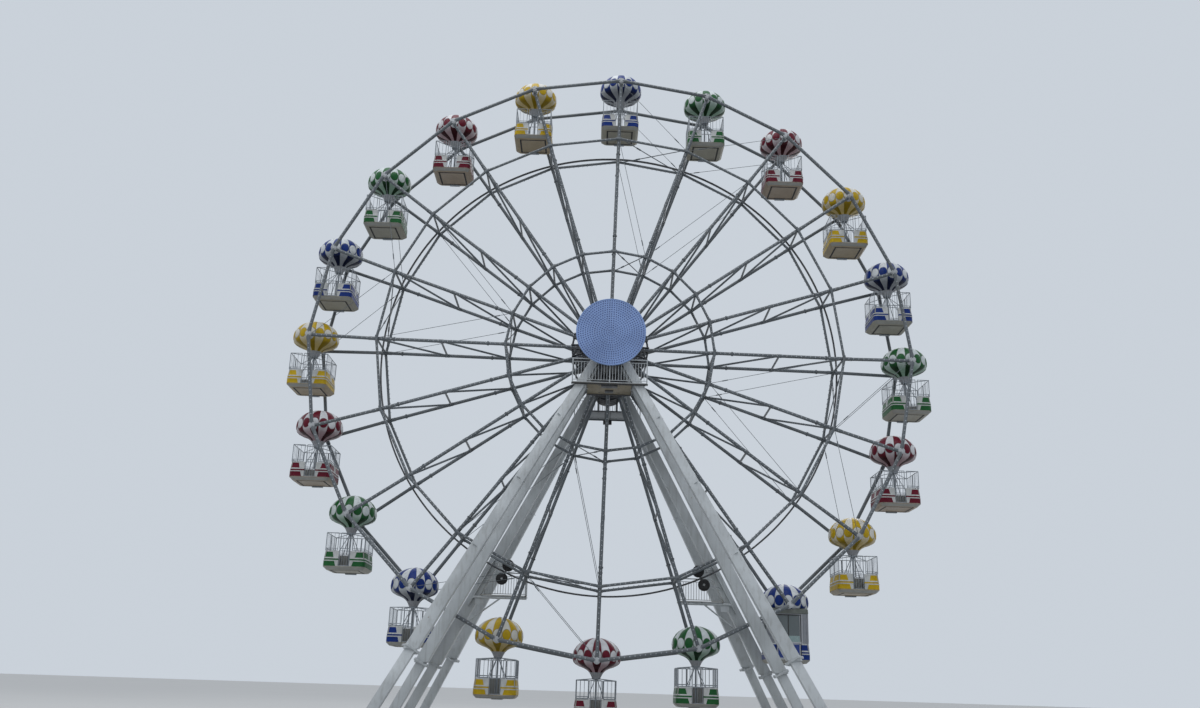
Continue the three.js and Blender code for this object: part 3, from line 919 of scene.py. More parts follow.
@dataclass(frozen=True)
class Spokes:
    """Flat lattice spokes: a front and a rear tube, posts, diagonals and the bearing at the tip."""

    plan: WheelPlan = PLAN
    foot: float = 1.15
    last: float = 1.75
    sleeve: float = 0.081
    flange: float = 0.097
    flange_thick: float = 0.02
    flange_gap: float = 0.004
    joint: float = 0.75
    boss: float = 0.118
    gusset: float = 0.15
    gusset_half: float = 0.007
    lug_x: Span = (0.075, 0.105)
    lug_z: Span = (1.1, 1.66)
    lug_pins: tuple[float, ...] = (1.22, 1.4, 1.57)

    def chord(self, side: int) -> list[Piece]:
        """One long tube of a spoke.

        Args:
            side: -1 for the front tube and 1 for the rear one.

        Returns:
            The tube's pieces, with its sleeves, bolted joints and lamps.
        """
        p, out = self.plan, Y_AXIS * side
        y, lift = side * p.chord_y, p.tube * 0.92 * out
        corners = [Vector((0, y, self.foot)), Vector((0, y, p.kink)), Vector((0, side * p.tip_y, p.tip))]
        pieces = []
        for start, end in zip(corners, corners[1:]):
            pieces += [Bench.rod(start, end, p.tube, 12), Bench.lamps(start + lift, end + lift, out)]
        sleeves = (
            (p.inner - 0.14, p.inner + 0.14),
            (p.post - 0.1, p.post + 0.1),
            (p.mid - 0.28, p.kink + 0.04),
        )
        pieces += [Bench.rod((0, y, low), (0, y, high), self.sleeve, 12) for low, high in sleeves]
        bolt_x = self.flange - 0.012
        for z in (p.inner + self.joint, p.mid - self.joint):
            for low in (-self.flange_gap - self.flange_thick, self.flange_gap):
                flange = Bench.rod((0, y, z + low), (0, y, z + low + self.flange_thick), self.flange, 12)
                pieces.append(flange)
            bolt = Bench.rod((bolt_x, y, z - 0.04), (bolt_x, y, z + 0.04), 0.009, 6)
            pieces.append(Bench.round(bolt, 6, Z_AXIS, (0, y, z)))
        return pieces

    def lattice(self) -> list[Piece]:
        """The posts and diagonals between the two tubes.

        Returns:
            The bars, with their lamps and gusset plates.
        """
        p, thin = self.plan, self.gusset_half
        levels = (p.mid, p.post, p.inner, self.last)
        pieces = []
        for top, bottom in zip(levels, levels[1:]):
            start, end = Vector((0, -p.chord_y, top)), Vector((0, p.chord_y, bottom))
            pieces += [Bench.rod(start, (0, p.chord_y, top), p.brace, 8), Bench.rod(start, end, p.brace, 8)]
            out = Vector((0, -(end.z - start.z), end.y - start.y)).normalized()
            lift = out * p.brace * 0.9
            pieces.append(Bench.lamps(start.lerp(end, 0.06) + lift, start.lerp(end, 0.94) + lift, out))
            for side in SIDES:
                y0, y1 = sorted((side * (p.chord_y - self.gusset), side * p.chord_y))
                low, high = top - self.gusset, top + self.gusset * 0.6
                pieces.append(Bench.block((-thin, y0, low), (thin, y1, high)))
        return pieces

    def bearing(self, side: int) -> Piece:
        """The round boss at a spoke's tip, with its bolts.

        Args:
            side: -1 for the front and 1 for the rear.

        Returns:
            The boss.
        """
        r = self.boss
        profile = ((1.121, r * 0.8), (1.135, r), (1.262, r), (1.282, r * 0.86))
        boss = Bench.turned(profile, 20, Y_AXIS * side)
        bolt = Bench.rod((r * 0.72, side * 1.28, 0), (r * 0.72, side * 1.292, 0), 0.014, 6)
        return Bench.shift(dress(Bench.join([boss, Bench.round(bolt, 6)]), "fitting"), z=self.plan.tip)

    def lug(self, side: int) -> Piece:
        """The forked lug that holds a tube on the hub's flange.

        Args:
            side: -1 for the front tube and 1 for the rear one.

        Returns:
            The lug, with its pins.
        """
        y, (near, far), (low, high) = side * self.plan.chord_y, self.lug_x, self.lug_z
        pieces = []
        for x in (-far, near):
            pieces.append(Bench.block((x, y - 0.12, low), (x + far - near, y + 0.12, high), 0.008))
        pieces.append(Bench.block((-0.1, y - 0.075, low + 0.02), (0.1, y + 0.075, high - 0.16), 0.01))
        pieces += [Bench.rod((-0.14, y, z), (0.14, y, z), 0.026, 8) for z in self.lug_pins]
        return dress(Bench.join(pieces), "hub")

    def build(self) -> None:
        """Models one spoke and copies it round the wheel."""
        pieces = self.lattice()
        for side in SIDES:
            pieces += [*self.chord(side), self.bearing(side), self.lug(side)]
        dress_rest(pieces, "wheel")
        first = Bench.join(pieces)
        Bench.soften(first)
        for k in range(self.plan.count):
            turn = Matrix.Rotation(k * self.plan.step, 4, "Y")
            spoke = Bench.place(Bench.copy(first), self.plan.seat @ turn)
            deliver(spoke, f"lattice_spoke_{k:02d}", "wheel", [f"spoke_{k:02d}"])
        bpy.data.objects.remove(first)


@dataclass(frozen=True)
class Rings:
    """The rim, the middle ring with the drive ring, the inner ring and the ties."""

    plan: WheelPlan = PLAN
    rim_tube: float = 0.074
    ring_tube: float = 0.056
    stay: float = 0.021
    stay_share: float = 0.05
    every: int = 5
    drive_tube: float = 0.0385
    drive_width: float = 2.0
    splice: float = 0.0392
    bracket_x: Span = (-0.06, 0.045)
    bracket_y: Span = (1.113, 1.18)
    bracket_thick: float = 0.015
    tie: float = 0.011
    buckle: float = 0.024
    node: Profile = ((1.284, 0.10), (1.30, 0.125), (1.395, 0.125), (1.41, 0.11), (1.41, 0.07), (1.428, 0.06))

    def bay(self, radius: float, y: float, tube: float, out: Vector, collar: float = 1.08) -> list[Piece]:
        """One straight tube between two spokes.

        Args:
            radius: The ring's radius at the spokes.
            y: Its depth.
            tube: The tube's radius.
            out: The direction that the lamps face.
            collar: The collars' radius, in shares of the tube's.

        Returns:
            The tube, with a collar near each end and its lamps.
        """
        a, b = self.plan.at(0, radius, y), self.plan.at(self.plan.step, radius, y)
        along = (b - a).normalized()
        pieces = [Bench.rod(a - along * 0.01, b + along * 0.01, tube, 12)]
        for end, way in ((a, along), (b, -along)):
            pieces.append(Bench.rod(end + way * 0.11, end + way * 0.26, tube * collar, 12))
        lift = out * tube * 0.9
        return pieces + [Bench.lamps(a.lerp(b, 0.09) + lift, a.lerp(b, 0.91) + lift, out)]

    def close(self, bay: list[Piece], name: str, node: str, whole: Sequence[Piece] = ()) -> None:
        """Repeats one bay round the wheel and hands the ring over.

        Args:
            bay: The pieces of one bay.
            name: The ring's name.
            node: The plain solid that it stands for.
            whole: Pieces that go all round already.
        """
        dress_rest([*bay, *whole], "wheel")
        ring = Bench.join([Bench.round(Bench.join(bay), self.plan.count), *whole])
        Bench.soften(ring)
        Bench.place(ring, self.plan.seat)
        deliver(ring, name, "wheel", [node])

    def rim(self, side: Side) -> None:
        """The outermost tubes of one face, from tip to tip, with the round plates on the tips.

        Args:
            side: The face.
        """
        s, p = side.value, self.plan
        out = Y_AXIS * s
        bolt = Bench.rod((0.09, s * 1.40, 0), (0.09, s * 1.42, 0), 0.013, 6)
        node = dress(Bench.join([Bench.turned(self.node, 20, out), Bench.round(bolt, 6)]), "fitting")
        bay = [*self.bay(p.tip, s * p.rim_y, self.rim_tube, out, 1.18), Bench.shift(node, z=p.tip)]
        face = side.name.lower()
        self.close(bay, f"rim_tubes_{face}", f"rim_{face}")

    def crossed(self, radius: float) -> list[Piece]:
        """The crossed stays between the two faces, in every fifth bay.

        Args:
            radius: The radius of the ring that they cross.

        Returns:
            The stays, each with its turnbuckle.
        """
        p = self.plan
        pieces = []
        for k in range(0, p.count, self.every):
            a, b = p.at(k * p.step, radius, 0), p.at((k + 1) * p.step, radius, 0)
            near, far = a.lerp(b, self.stay_share), a.lerp(b, 1 - self.stay_share)
            for s in SIDES:
                start, end = near - Y_AXIS * s * p.ring_y, far + Y_AXIS * s * p.ring_y
                middle, along = start.lerp(end, 0.28), (end - start).normalized() * 0.11
                pieces.append(Bench.rod(start, end, self.stay, 8))
                pieces.append(Bench.rod(middle - along, middle + along, self.stay * 1.7, 8))
        return pieces

    def gusset(self, radius: float, side: int) -> list[Piece]:
        """The bolted plate that holds a ring's tubes on a spoke.

        Args:
            radius: The ring's radius.
            side: -1 for the front and 1 for the rear.

        Returns:
            The plate and its bolts.
        """
        y = side * (self.plan.ring_y + 0.03)
        bolt = Bench.rod((0.1, y + side * 0.01, radius), (0.1, y + side * 0.03, radius), 0.014, 6)
        return [Bench.slab((0, y, radius), (0.13, 0.012, 0.06), 0.005), Bench.row(bolt, 2, (-0.2, 0, 0))]

    def inner(self) -> None:
        """The ring nearest the hub."""
        p = self.plan
        bay = []
        for s in SIDES:
            bay += self.bay(p.inner, s * p.ring_y, self.ring_tube, Y_AXIS * s) + self.gusset(p.inner, s)
        self.close(bay, "inner_ring_tubes", "inner_ring", self.crossed(p.inner))

    def drive(self) -> Piece:
        """The round drive ring that the tyres run on.

        Returns:
            The ring, with its splices.
        """
        p = self.plan
        ring = Bench.hoop(p.drive_radius, self.drive_tube, p.drive_y, (180, 12), self.drive_width)
        ends = [(x, p.drive_y, p.drive_radius) for x in (-0.2, 0.2)]
        splice = Bench.place(Bench.rod(*ends, self.splice, 12), Matrix.Rotation(p.step / 2, 4, "Y"))
        return dress(Bench.join([ring, Bench.round(splice, p.count // 2)]), "hub")

    def middle(self) -> None:
        """The middle ring, with the round drive ring on its brackets."""
        p = self.plan
        bay = []
        for s, out in ((-1, -Y_AXIS), (1, -p.at(p.step / 2, 1, 0))):
            bay += self.bay(p.mid, s * p.ring_y, self.ring_tube, out) + self.gusset(p.mid, s)
        y0, y1 = self.bracket_y
        high = p.drive_radius + 0.03
        for x in self.bracket_x:
            bay.append(Bench.block((x, y0, p.mid - 0.03), (x + self.bracket_thick, y1, high), 0.004))
            arm = (x + self.bracket_thick, p.drive_y, high)
            bay.append(Bench.block((x, y0, p.drive_radius - 0.03), arm, 0.004))
        self.close(bay, "middle_ring_tubes", "mid_ring", [self.drive(), *self.crossed(p.mid)])

    def ties(self) -> None:
        """The thin ties beside four of the spokes, on both faces, each with a turnbuckle."""
        p = self.plan
        pieces = []
        for k in range(1, p.count, self.every):
            for s in SIDES:
                y, tip_y = s * (p.ring_y + 0.02), s * (p.tip_y + 0.03)
                for way in SIDES:
                    for low, high, end_y in ((p.inner, p.mid, y), (p.mid, p.tip - 0.06, tip_y)):
                        start, end = p.at(k * p.step, low, y), p.at((k + way) * p.step, high, end_y)
                        along = (end - start).normalized()
                        near, far = start + along * 0.55, start + along * 0.81
                        pieces += [Bench.rod(start, end, self.tie, 6), Bench.rod(near, far, self.buckle, 8)]
        ties = Bench.place(dress(Bench.join(pieces), "wheel"), p.seat)
        Bench.soften(ties)
        deliver(ties, "tie_rods", "wheel")

    def build(self) -> None:
        """Models every ring."""
        for side in Side:
            self.rim(side)
        self.middle()
        self.inner()
        self.ties()


@dataclass(frozen=True)
class Hub:
    """The axle, its barrel with two ribbed flanges, and the round light panel in front."""

    plan: WheelPlan = PLAN
    flange: float = 1.3
    lug_ring: Span = (1.6, 0.042)
    lug_ring_y: float = 0.985
    flange_y: Span = (0.928, 0.986)
    barrel: float = 0.48
    collar: float = 0.33
    collar_end: float = 1.62
    axle: float = 0.215
    axle_front: float = -2.9
    axle_rear: float = 2.95
    fin_z: Span = (0.44, 1.3)
    fin_deep: float = 0.25
    fin_lean: float = 0.2
    bolt_radii: tuple[tuple[float, float], ...] = ((1.23, 0.0), (1.23, 0.13), (0.62, 0.0))
    disc: float = 1.42
    disc_y: Span = (-3.36, -3.26)
    dot: Span = (0.027, 0.018)
    dot_gap: float = 0.095

    def turning(self) -> list[Piece]:
        """The round pieces of the hub.

        Returns:
            The barrel with its flanges and collars, the axle and the two rings of the lugs.
        """
        (near, far), flange, collar = self.flange_y, self.flange, self.collar
        half = [(near - 0.001, self.barrel), (near, flange - 0.012), (near + 0.012, flange)]
        half += [(far - 0.012, flange), (far, flange - 0.012), (far + 0.002, collar + 0.12)]
        half += [(far + 0.09, collar + 0.1), (far + 0.1, collar), (self.collar_end, collar)]
        body = Bench.turned(mirrored(half) + half, 64, Y_AXIS)
        shaft = ((self.disc_y[1], self.axle * 0.9), (self.axle_front, self.axle))
        shaft += ((self.axle_rear - 0.03, self.axle), (self.axle_rear, self.axle * 0.86))
        hoops = [Bench.hoop(*self.lug_ring, s * self.lug_ring_y, (80, 8)) for s in SIDES]
        return [body, Bench.turned(shaft, 40, Y_AXIS), *hoops]

    def fins(self) -> Piece:
        """The fins that stiffen the flanges on the barrel, one in line with every other spoke.

        Returns:
            The fins.
        """
        near, (low, high) = self.flange_y[0], self.fin_z
        fins = []
        for s in SIDES:
            y0, y1 = sorted((s * near, s * (near - self.fin_deep)))
            fin = Bench.block((-0.012, y0, low), (0.012, y1, high))
            mesh = Bench.edit(fin, "VERT", False)
            for vertex in mesh.verts:
                vertex.select = vertex.co.z > 1 and abs(vertex.co.y) < near - 0.1
            mesh.select_flush_mode()
            bpy.ops.transform.translate(value=(0, s * self.fin_lean, 0))
            Bench.close()
            fins.append(fin)
        return Bench.round(Bench.join(fins), self.plan.count // 2)

    def bolts(self) -> Piece:
        """The bolts round the rims of the flanges and round the barrel.

        Returns:
            The bolts.
        """
        rows = []
        for s in SIDES:
            y0, y1 = s * (self.flange_y[0] - 0.02), s * (self.flange_y[1] + 0.022)
            for radius, turn in self.bolt_radii:
                p = self.plan.at(turn + self.plan.step / 3, radius, 0)
                rows.append(Bench.rod((p.x, y0, p.z), (p.x, y1, p.z), 0.02, 6))
        return Bench.round(Bench.join(rows), self.plan.count)

    def lamp(self, radius: float) -> Piece:
        """One small lamp on the light panel, above its middle."""
        face, (foot, top) = self.disc_y[0] + 0.012, self.dot
        return dress(Bench.rod((0, face + 0.002, radius), (0, face - 0.011, radius), foot, 8, top), "dot")

    def panel(self) -> None:
        """The round light panel: a dished face in a rolled rim, with rings of small lamps."""
        (front, back), edge = self.disc_y, self.disc
        profile = [(-back, edge * 0.9), (-back + 0.004, edge - 0.01), (-back + 0.02, edge)]
        profile += [(-front - 0.014, edge), (-front, edge - 0.012), (-front, edge - 0.03)]
        profile += [(-front - 0.012, edge - 0.036), (-front - 0.012, edge * 0.5)]
        panel = dress(Bench.turned(profile, 96, -Y_AXIS), "panel")
        Bench.soften(panel, 25)
        pieces = [panel]
        radius = self.dot_gap
        while radius < edge - 0.06:
            pieces.append(Bench.round(self.lamp(radius), round(2 * math.pi * radius / self.dot_gap)))
            radius += self.dot_gap
        arm = Bench.block((-0.03, back - 0.002, 0.2), (0.03, back + 0.05, edge * 0.93), 0.006)
        pieces += [self.lamp(0), dress(Bench.round(arm, 8), "hub")]
        whole = Bench.place(Bench.join(pieces), self.plan.seat)
        deliver(whole, "light_panel", "wheel", ["hub_disc"])

    def build(self) -> None:
        """Models the hub and its light panel."""
        hub = dress(Bench.join([*self.turning(), self.fins(), self.bolts()]), "hub")
        Bench.soften(hub, 30)
        Bench.place(hub, self.plan.seat)
        deliver(hub, "wheel_hub", "wheel", ["hub"])
        self.panel()


@dataclass(frozen=True)
class Tower:
    """The box legs, the bearing heads and the hub decks."""

    plan: WheelPlan = PLAN
    head_y: Span = (1.625, 2.85)
    head_x: float = 0.47
    head_z: Span = (-1.25, 0.52)
    bore: float = 0.235
    cap: Profile = ((0, 0.42), (0.05, 0.42), (0.07, 0.4), (0.07, 0.25))
    belly: Span = (0.52, 0.3)
    belly_rib: Profile = ((0, 0), (0.01, 0.02), (0.03, 0.02), (0.04, 0))
    slope: float = 0.52
    leg_top: float = 14.74
    top_half: float = 0.17
    low_half: float = 0.23
    foot_half: float = 0.18
    inner_face: float = 1.64
    outer_y: Span = (6.59, 2.43)
    flange_z: Span = (2.42, 2.79)
    flange_half: float = 0.285
    flange_depth: Span = (0.003, 0.034)
    welds: tuple[float, ...] = (0.3, 0.52, 0.74)
    plate: Span = (0.45, 0.04)
    deck_z: float = 13.4
    deck_x: float = 1.54
    walk_x: float = 0.94
    deck_y: Span = (1.4, 3.135)
    strip_y: float = 3.035
    floor_thick: float = 0.02
    joist: Span = (-0.06, -0.018)
    hanger: float = 0.032
    front_boxes: tuple[Span, ...] = ((0.33, 2.74), (0.17, 1.95))
    rail: float = 1.0
    lamps_x: Span = (-0.19, 0.03)

    @property
    def wide(self) -> float:
        """How much wider a level cut through a leaning leg is than the leg."""
        return math.hypot(1, self.slope)

    @property
    def reach(self) -> float:
        """Half the height of the place where a leg meets its head."""
        return self.top_half * self.wide / self.slope

    def leg_x(self, z: float) -> float:
        """How far out a leg's middle is at a height."""
        return self.head_x + self.slope * (self.leg_top - z)

    def depth(self, z: float, half: float, inner: bool) -> float:
        """The depth of a leg's middle.

        Args:
            z: The height.
            half: Half the leg's width there.
            inner: Whether it is the upright leg beside the wheel.

        Returns:
            The depth.
        """
        foot, top = self.outer_y
        return self.inner_face + half if inner else foot - (foot - top) * z / self.leg_top

    def box(self, side: int, cuts: Sequence[tuple[float, float, float]]) -> Piece:
        """A leaning box drawn up from a level cut.

        Args:
            side: 1 for the right and -1 for the left.
            cuts: The height, depth and half width of each level cut.

        Returns:
            The box, with bevelled edges.
        """
        sections = [((side * self.leg_x(z), y, z), half * self.wide, half) for z, y, half in cuts]
        piece = Bench.plate(*sections[0])
        Bench.edit(piece)
        Bench.rise(piece, sections)
        Bench.bevel(piece, 0.016)
        return piece

    def base(self, x: float, y: float) -> list[Piece]:
        """The foot's plate on the ground.

        Args:
            x: Its middle along X.
            y: Its middle along Y.

        Returns:
            The plate, its stiffening lugs and its studs.
        """
        half, thick = self.plate
        pieces = [Bench.block((x - half, y - half, 0), (x + half, y + half, thick), 0.006)]
        for dx, dy in ((1, 0), (-1, 0), (0, 1), (0, -1)):
            size = (0.12 if dx else 0.01, 0.12 if dy else 0.01, 0.11)
            pieces.append(Bench.slab((x + dx * 0.31, y + dy * 0.31, 0.14), size))
        pitch = 0.37
        stud = Bench.rod((x - pitch, y - pitch, 0.03), (x - pitch, y - pitch, 0.1), 0.02, 6)
        return pieces + [Bench.row(Bench.row(stud, 3, (pitch, 0, 0)), 2, (0, 2 * pitch, 0))]

    def leg(self, side: int, inner: bool) -> list[Piece]:
        """One leg behind the wheel.

        Args:
            side: 1 for the right and -1 for the left.
            inner: Whether it is the upright leg beside the wheel.

        Returns:
            The leg's shaft with its welds, its foot, the bolted flange between them and the base.
        """
        split, end = self.flange_z[0 if inner else 1], self.leg_top + self.reach
        ends = ((split, self.low_half), (end, self.top_half))
        shaft = [(z, self.depth(z, half, inner), half) for z, half in ends]
        half = self.foot_half
        foot = [(0.03, self.depth(0, half, inner), half), (split, self.depth(split, half, inner), half)]
        middle, top = [Vector((side * self.leg_x(z), y, z)) for z, y, _ in shaft]
        pieces = [self.box(side, shaft), self.box(side, foot)]
        (low, high), wide = self.flange_depth, self.flange_half
        plates = ((-high, -low), (low, high))
        flange = [Bench.block((-wide, -wide, z0), (wide, wide, z1), 0.005) for z0, z1 in plates]
        bolt = Bench.rod((-0.255, -0.255, -0.06), (-0.255, -0.255, 0.06), 0.018, 6)
        flange.append(Bench.round(Bench.row(bolt, 4, (0.17, 0, 0)), 4, Z_AXIS))
        pieces.append(Bench.place(Bench.join(flange), leaning(middle, top - middle)))
        for share in self.welds:
            wide = self.low_half + (self.top_half - self.low_half) * share + 0.003
            weld = Bench.slab(ORIGIN, (wide, wide, 0.008), 0.003)
            pieces.append(Bench.place(weld, leaning(middle.lerp(top, share), top - middle)))
        return pieces + self.base(side * self.leg_x(0), self.depth(0, self.foot_half, inner))

    def pair(self, side: int) -> Piece:
        """An inner and an outer leg with the plate that bolts them to the head.

        Args:
            side: 1 for the right and -1 for the left.

        Returns:
            The pair, behind the wheel.
        """
        pieces = self.leg(side, True) + self.leg(side, False)
        near, far = sorted((side * (self.head_x + 0.001), side * (self.head_x + 0.045)))
        low, high = self.leg_top - self.reach, self.leg_top + self.reach
        pieces.append(Bench.block((near, self.inner_face, low), (far, self.head_y[1], high), 0.006))
        x, y, edge = side * (self.head_x + 0.03), 1.7, 0.07
        bolt = Bench.rod((x, y, low + edge), (x + side * 0.04, y, low + edge), 0.02, 6)
        pieces.append(Bench.row(Bench.row(bolt, 6, (0, 0.17, 0)), 2, (0, 0, high - low - 2 * edge)))
        return dress(Bench.join(pieces), "tower")

    def legs(self) -> None:
        """The four pairs of legs."""
        for side, word in ((1, "right"), (-1, "left")):
            rear = self.pair(side)
            Bench.soften(rear, 30)
            front = Bench.copy(rear)
            Bench.mirror(front, Y_AXIS)
            for piece, face in ((rear, "rear"), (front, "front")):
                name = f"{face}_{word}_legs"
                deliver(piece, f"box_{name}", "tower", [name])

    def head(self) -> Piece:
        """The bearing head behind the wheel, dressed in the dark hub paint as painted shade.

        Returns:
            The head, with the bearing's bolted cap, three ribs below it, and a top and a bottom plate.
        """
        hub = self.plan.hub_z
        (y0, y1), (low, high) = self.head_y, [hub + z for z in self.head_z]
        block = Bench.block((-self.head_x, y0, low), (self.head_x, y1, high), 0.02)
        Bench.cut(block, Bench.rod((0, y0 - 0.1, hub), (0, y1 + 0.1, hub), self.bore, 40))
        cap = Bench.turned(self.cap, 40, Y_AXIS)
        Bench.cut(cap, Bench.rod((0, -0.1, 0), (0, 0.2, 0), self.bore, 40))
        bolt = Bench.rod((0.34, 0.05, 0), (0.34, 0.1, 0), 0.022, 6)
        pieces = [block, Bench.shift(Bench.join([cap, Bench.round(bolt, 12)]), y=y1, z=hub)]
        for x in (-0.3, 0, 0.3):
            pieces.append(Bench.block((x - 0.012, y1, low), (x + 0.012, y1 + 0.1, hub - 0.45)))
        for half, z0, z1 in ((0.51, high - 0.01, high + 0.02), (0.45, low - 0.03, low + 0.01)):
            pieces.append(Bench.block((-half, y0 + 0.02, z0), (half, y1 + 0.03, z1), 0.006))
        # Painted shade: the head is dressed in the dark hub paint, darker than the tower, for the shade it
        # stands in.
        return dress(Bench.join(pieces), "hub")

    def cradle(self) -> Piece:
        """The rounded underside of the rear head.

        Returns:
            The ribbed form, flattened from a cylinder.
        """
        (wide, deep), (y0, y1) = self.belly, self.head_y
        form = ((y0 + 0.06, wide - 0.02), (y0 + 0.08, wide), (y1 - 0.08, wide), (y1 - 0.06, wide - 0.02))
        pieces = [Bench.turned(form, 40, Y_AXIS)]
        for start in (y0 + 0.3, y0 + 0.6, y0 + 0.9):
            pieces.append(Bench.turned([(start + y, wide + r) for y, r in self.belly_rib], 40, Y_AXIS))
        flat = Matrix.Diagonal((1, 1, deep / wide, 1))
        place = Matrix.Translation((0, 0, self.plan.hub_z + self.head_z[0]))
        return dress(Bench.place(Bench.join(pieces), place @ flat), "hub")

    def beams(self, face: Side) -> Piece:
        """The beams under a hub deck, and the hangers that carry it.

        Args:
            face: The deck's face. The boxes under the floor are on the front alone.

        Returns:
            The beams.
        """
        z, wide, walk, (y0, y1), strip = self.deck_z, self.deck_x, self.walk_x, self.deck_y, self.strip_y
        low, high = [z + joist for joist in self.joist]
        boxes = [((-wide, y1 - 0.012, z - 0.035), (wide, y1, z), 0.004)]
        for half, y in self.front_boxes if face is Side.FRONT else ():
            boxes.append(((-half, y - 0.16, z - 0.075), (half, y + 0.16, z - 0.02), 0.006))
        boxes.append(((-wide, strip, low), (wide, strip + 0.012, high), 0.003))
        boxes += [((x, y0, low), (x + 0.04, strip, high), 0.004) for x in (-walk, walk - 0.04)]
        boxes.append(((-walk, y0, low), (walk, y0 + 0.05, high), 0.004))
        half, inset, top = self.hanger, 0.06, self.plan.hub_z + self.head_z[0] + 0.02
        for x in (-self.head_x + inset, self.head_x - inset):
            for y in (self.head_y[0] + inset, self.head_y[1] - inset):
                boxes.append(((x - half, y - half, z - 0.03), (x + half, y + half, top), 0.005))
        return dress(Bench.join([Bench.block(*box) for box in boxes]), "hub")

    def deck(self, face: Side) -> Piece:
        """The hanging deck behind the head.

        Args:
            face: The face that the deck is for.

        Returns:
            The floor plates, beams, corner struts and railing.
        """
        z, wide, walk, (y0, y1), strip = self.deck_z, self.deck_x, self.walk_x, self.deck_y, self.strip_y
        under = z - self.floor_thick
        plates = [Bench.block((-wide, strip, under), (wide, y1, z), 0.004)]
        plates.append(Bench.block((-walk, y0, under), (walk, strip, z), 0.004))
        floor = dress(Bench.join(plates), "deck" if face is Side.FRONT else "wheel")
        beams, bars = self.beams(face), []
        for s in SIDES:
            corner, foot = (s * (wide - 0.06), y1 - 0.05, z - 0.05), (s * (walk - 0.05), y1 - 0.75, z - 0.07)
            bars.append(Bench.rod(corner, foot, 0.022, 10))
        bars += self.fence([(x, y1 - 0.04) for x in (-wide + 0.04, 0, wide - 0.04)], z, 0.115)
        return Bench.join([dress(Bench.join(bars), "tower"), floor, beams])

    def fence(self, corners: Sequence[Span], z: float, gap: float) -> list[Piece]:
        """A railing with upright bars and a toe board.

        Args:
            corners: The corners of its run from above, each further along X or Y than the last.
            z: The top of the deck.
            gap: The distance between the bars.

        Returns:
            The rails, posts, bars and boards.
        """
        top, low = self.rail, 0.12
        high = top - 0.13
        pieces = []
        for (ax, ay), (bx, by) in zip(corners, corners[1:]):
            a, b = Vector((ax, ay, z)), Vector((bx, by, z))
            for level, radius in ((top, 0.024), (low, 0.014), (high, 0.014)):
                pieces.append(Bench.rod(a + Z_AXIS * level, b + Z_AXIS * level, radius, 10))
            count = max(2, round((b - a).length / gap))
            bar = Bench.rod(a + Z_AXIS * low, a + Z_AXIS * high, 0.0125, 6)
            pieces.append(Bench.row(bar, count, (b - a) / count))
            pieces.append(Bench.block((ax - 0.006, ay - 0.006, z - 0.01), (bx + 0.006, by + 0.006, z + 0.04)))
        for x, y in corners:
            pieces.append(Bench.rod((x, y, z - 0.03), (x, y, z + top), 0.024, 10))
            pieces.append(Bench.rod((x, y, z + top - 0.02), (x, y, z + top + 0.012), 0.028, 10, 0.02))
        return pieces

    def floodlights(self) -> Piece:
        """The pair of small floodlights that hang under the rear deck.

        Returns:
            The floodlights.
        """
        y, z = self.deck_y[0] + 0.16, self.deck_z - 0.42
        parts = []
        for x in self.lamps_x:
            parts.append(Bench.block((x, y - 0.07, z - 0.17), (x + 0.16, y + 0.07, z), 0.014))
            parts.append(Bench.rod((x + 0.08, y, z - 0.02), (x + 0.08, y, self.deck_z - 0.04), 0.014, 8))
        return dress(Bench.join(parts), "black")

    def build(self) -> None:
        """Models the whole tower."""
        self.legs()
        for face in Side:
            word, deck = face.name.lower(), self.deck(face)
            head = self.head() if face is Side.FRONT else Bench.join([self.head(), self.cradle()])
            for piece, name, nodes in ((head, "bearing_head", [f"{word}_head"]), (deck, "hub_deck", [])):
                Bench.soften(piece, 30)
                if face is Side.FRONT:
                    Bench.mirror(piece, Y_AXIS)
                deliver(piece, f"{word}_{name}", "tower", nodes)
        deliver(self.floodlights(), "rear_floodlights", "tower")


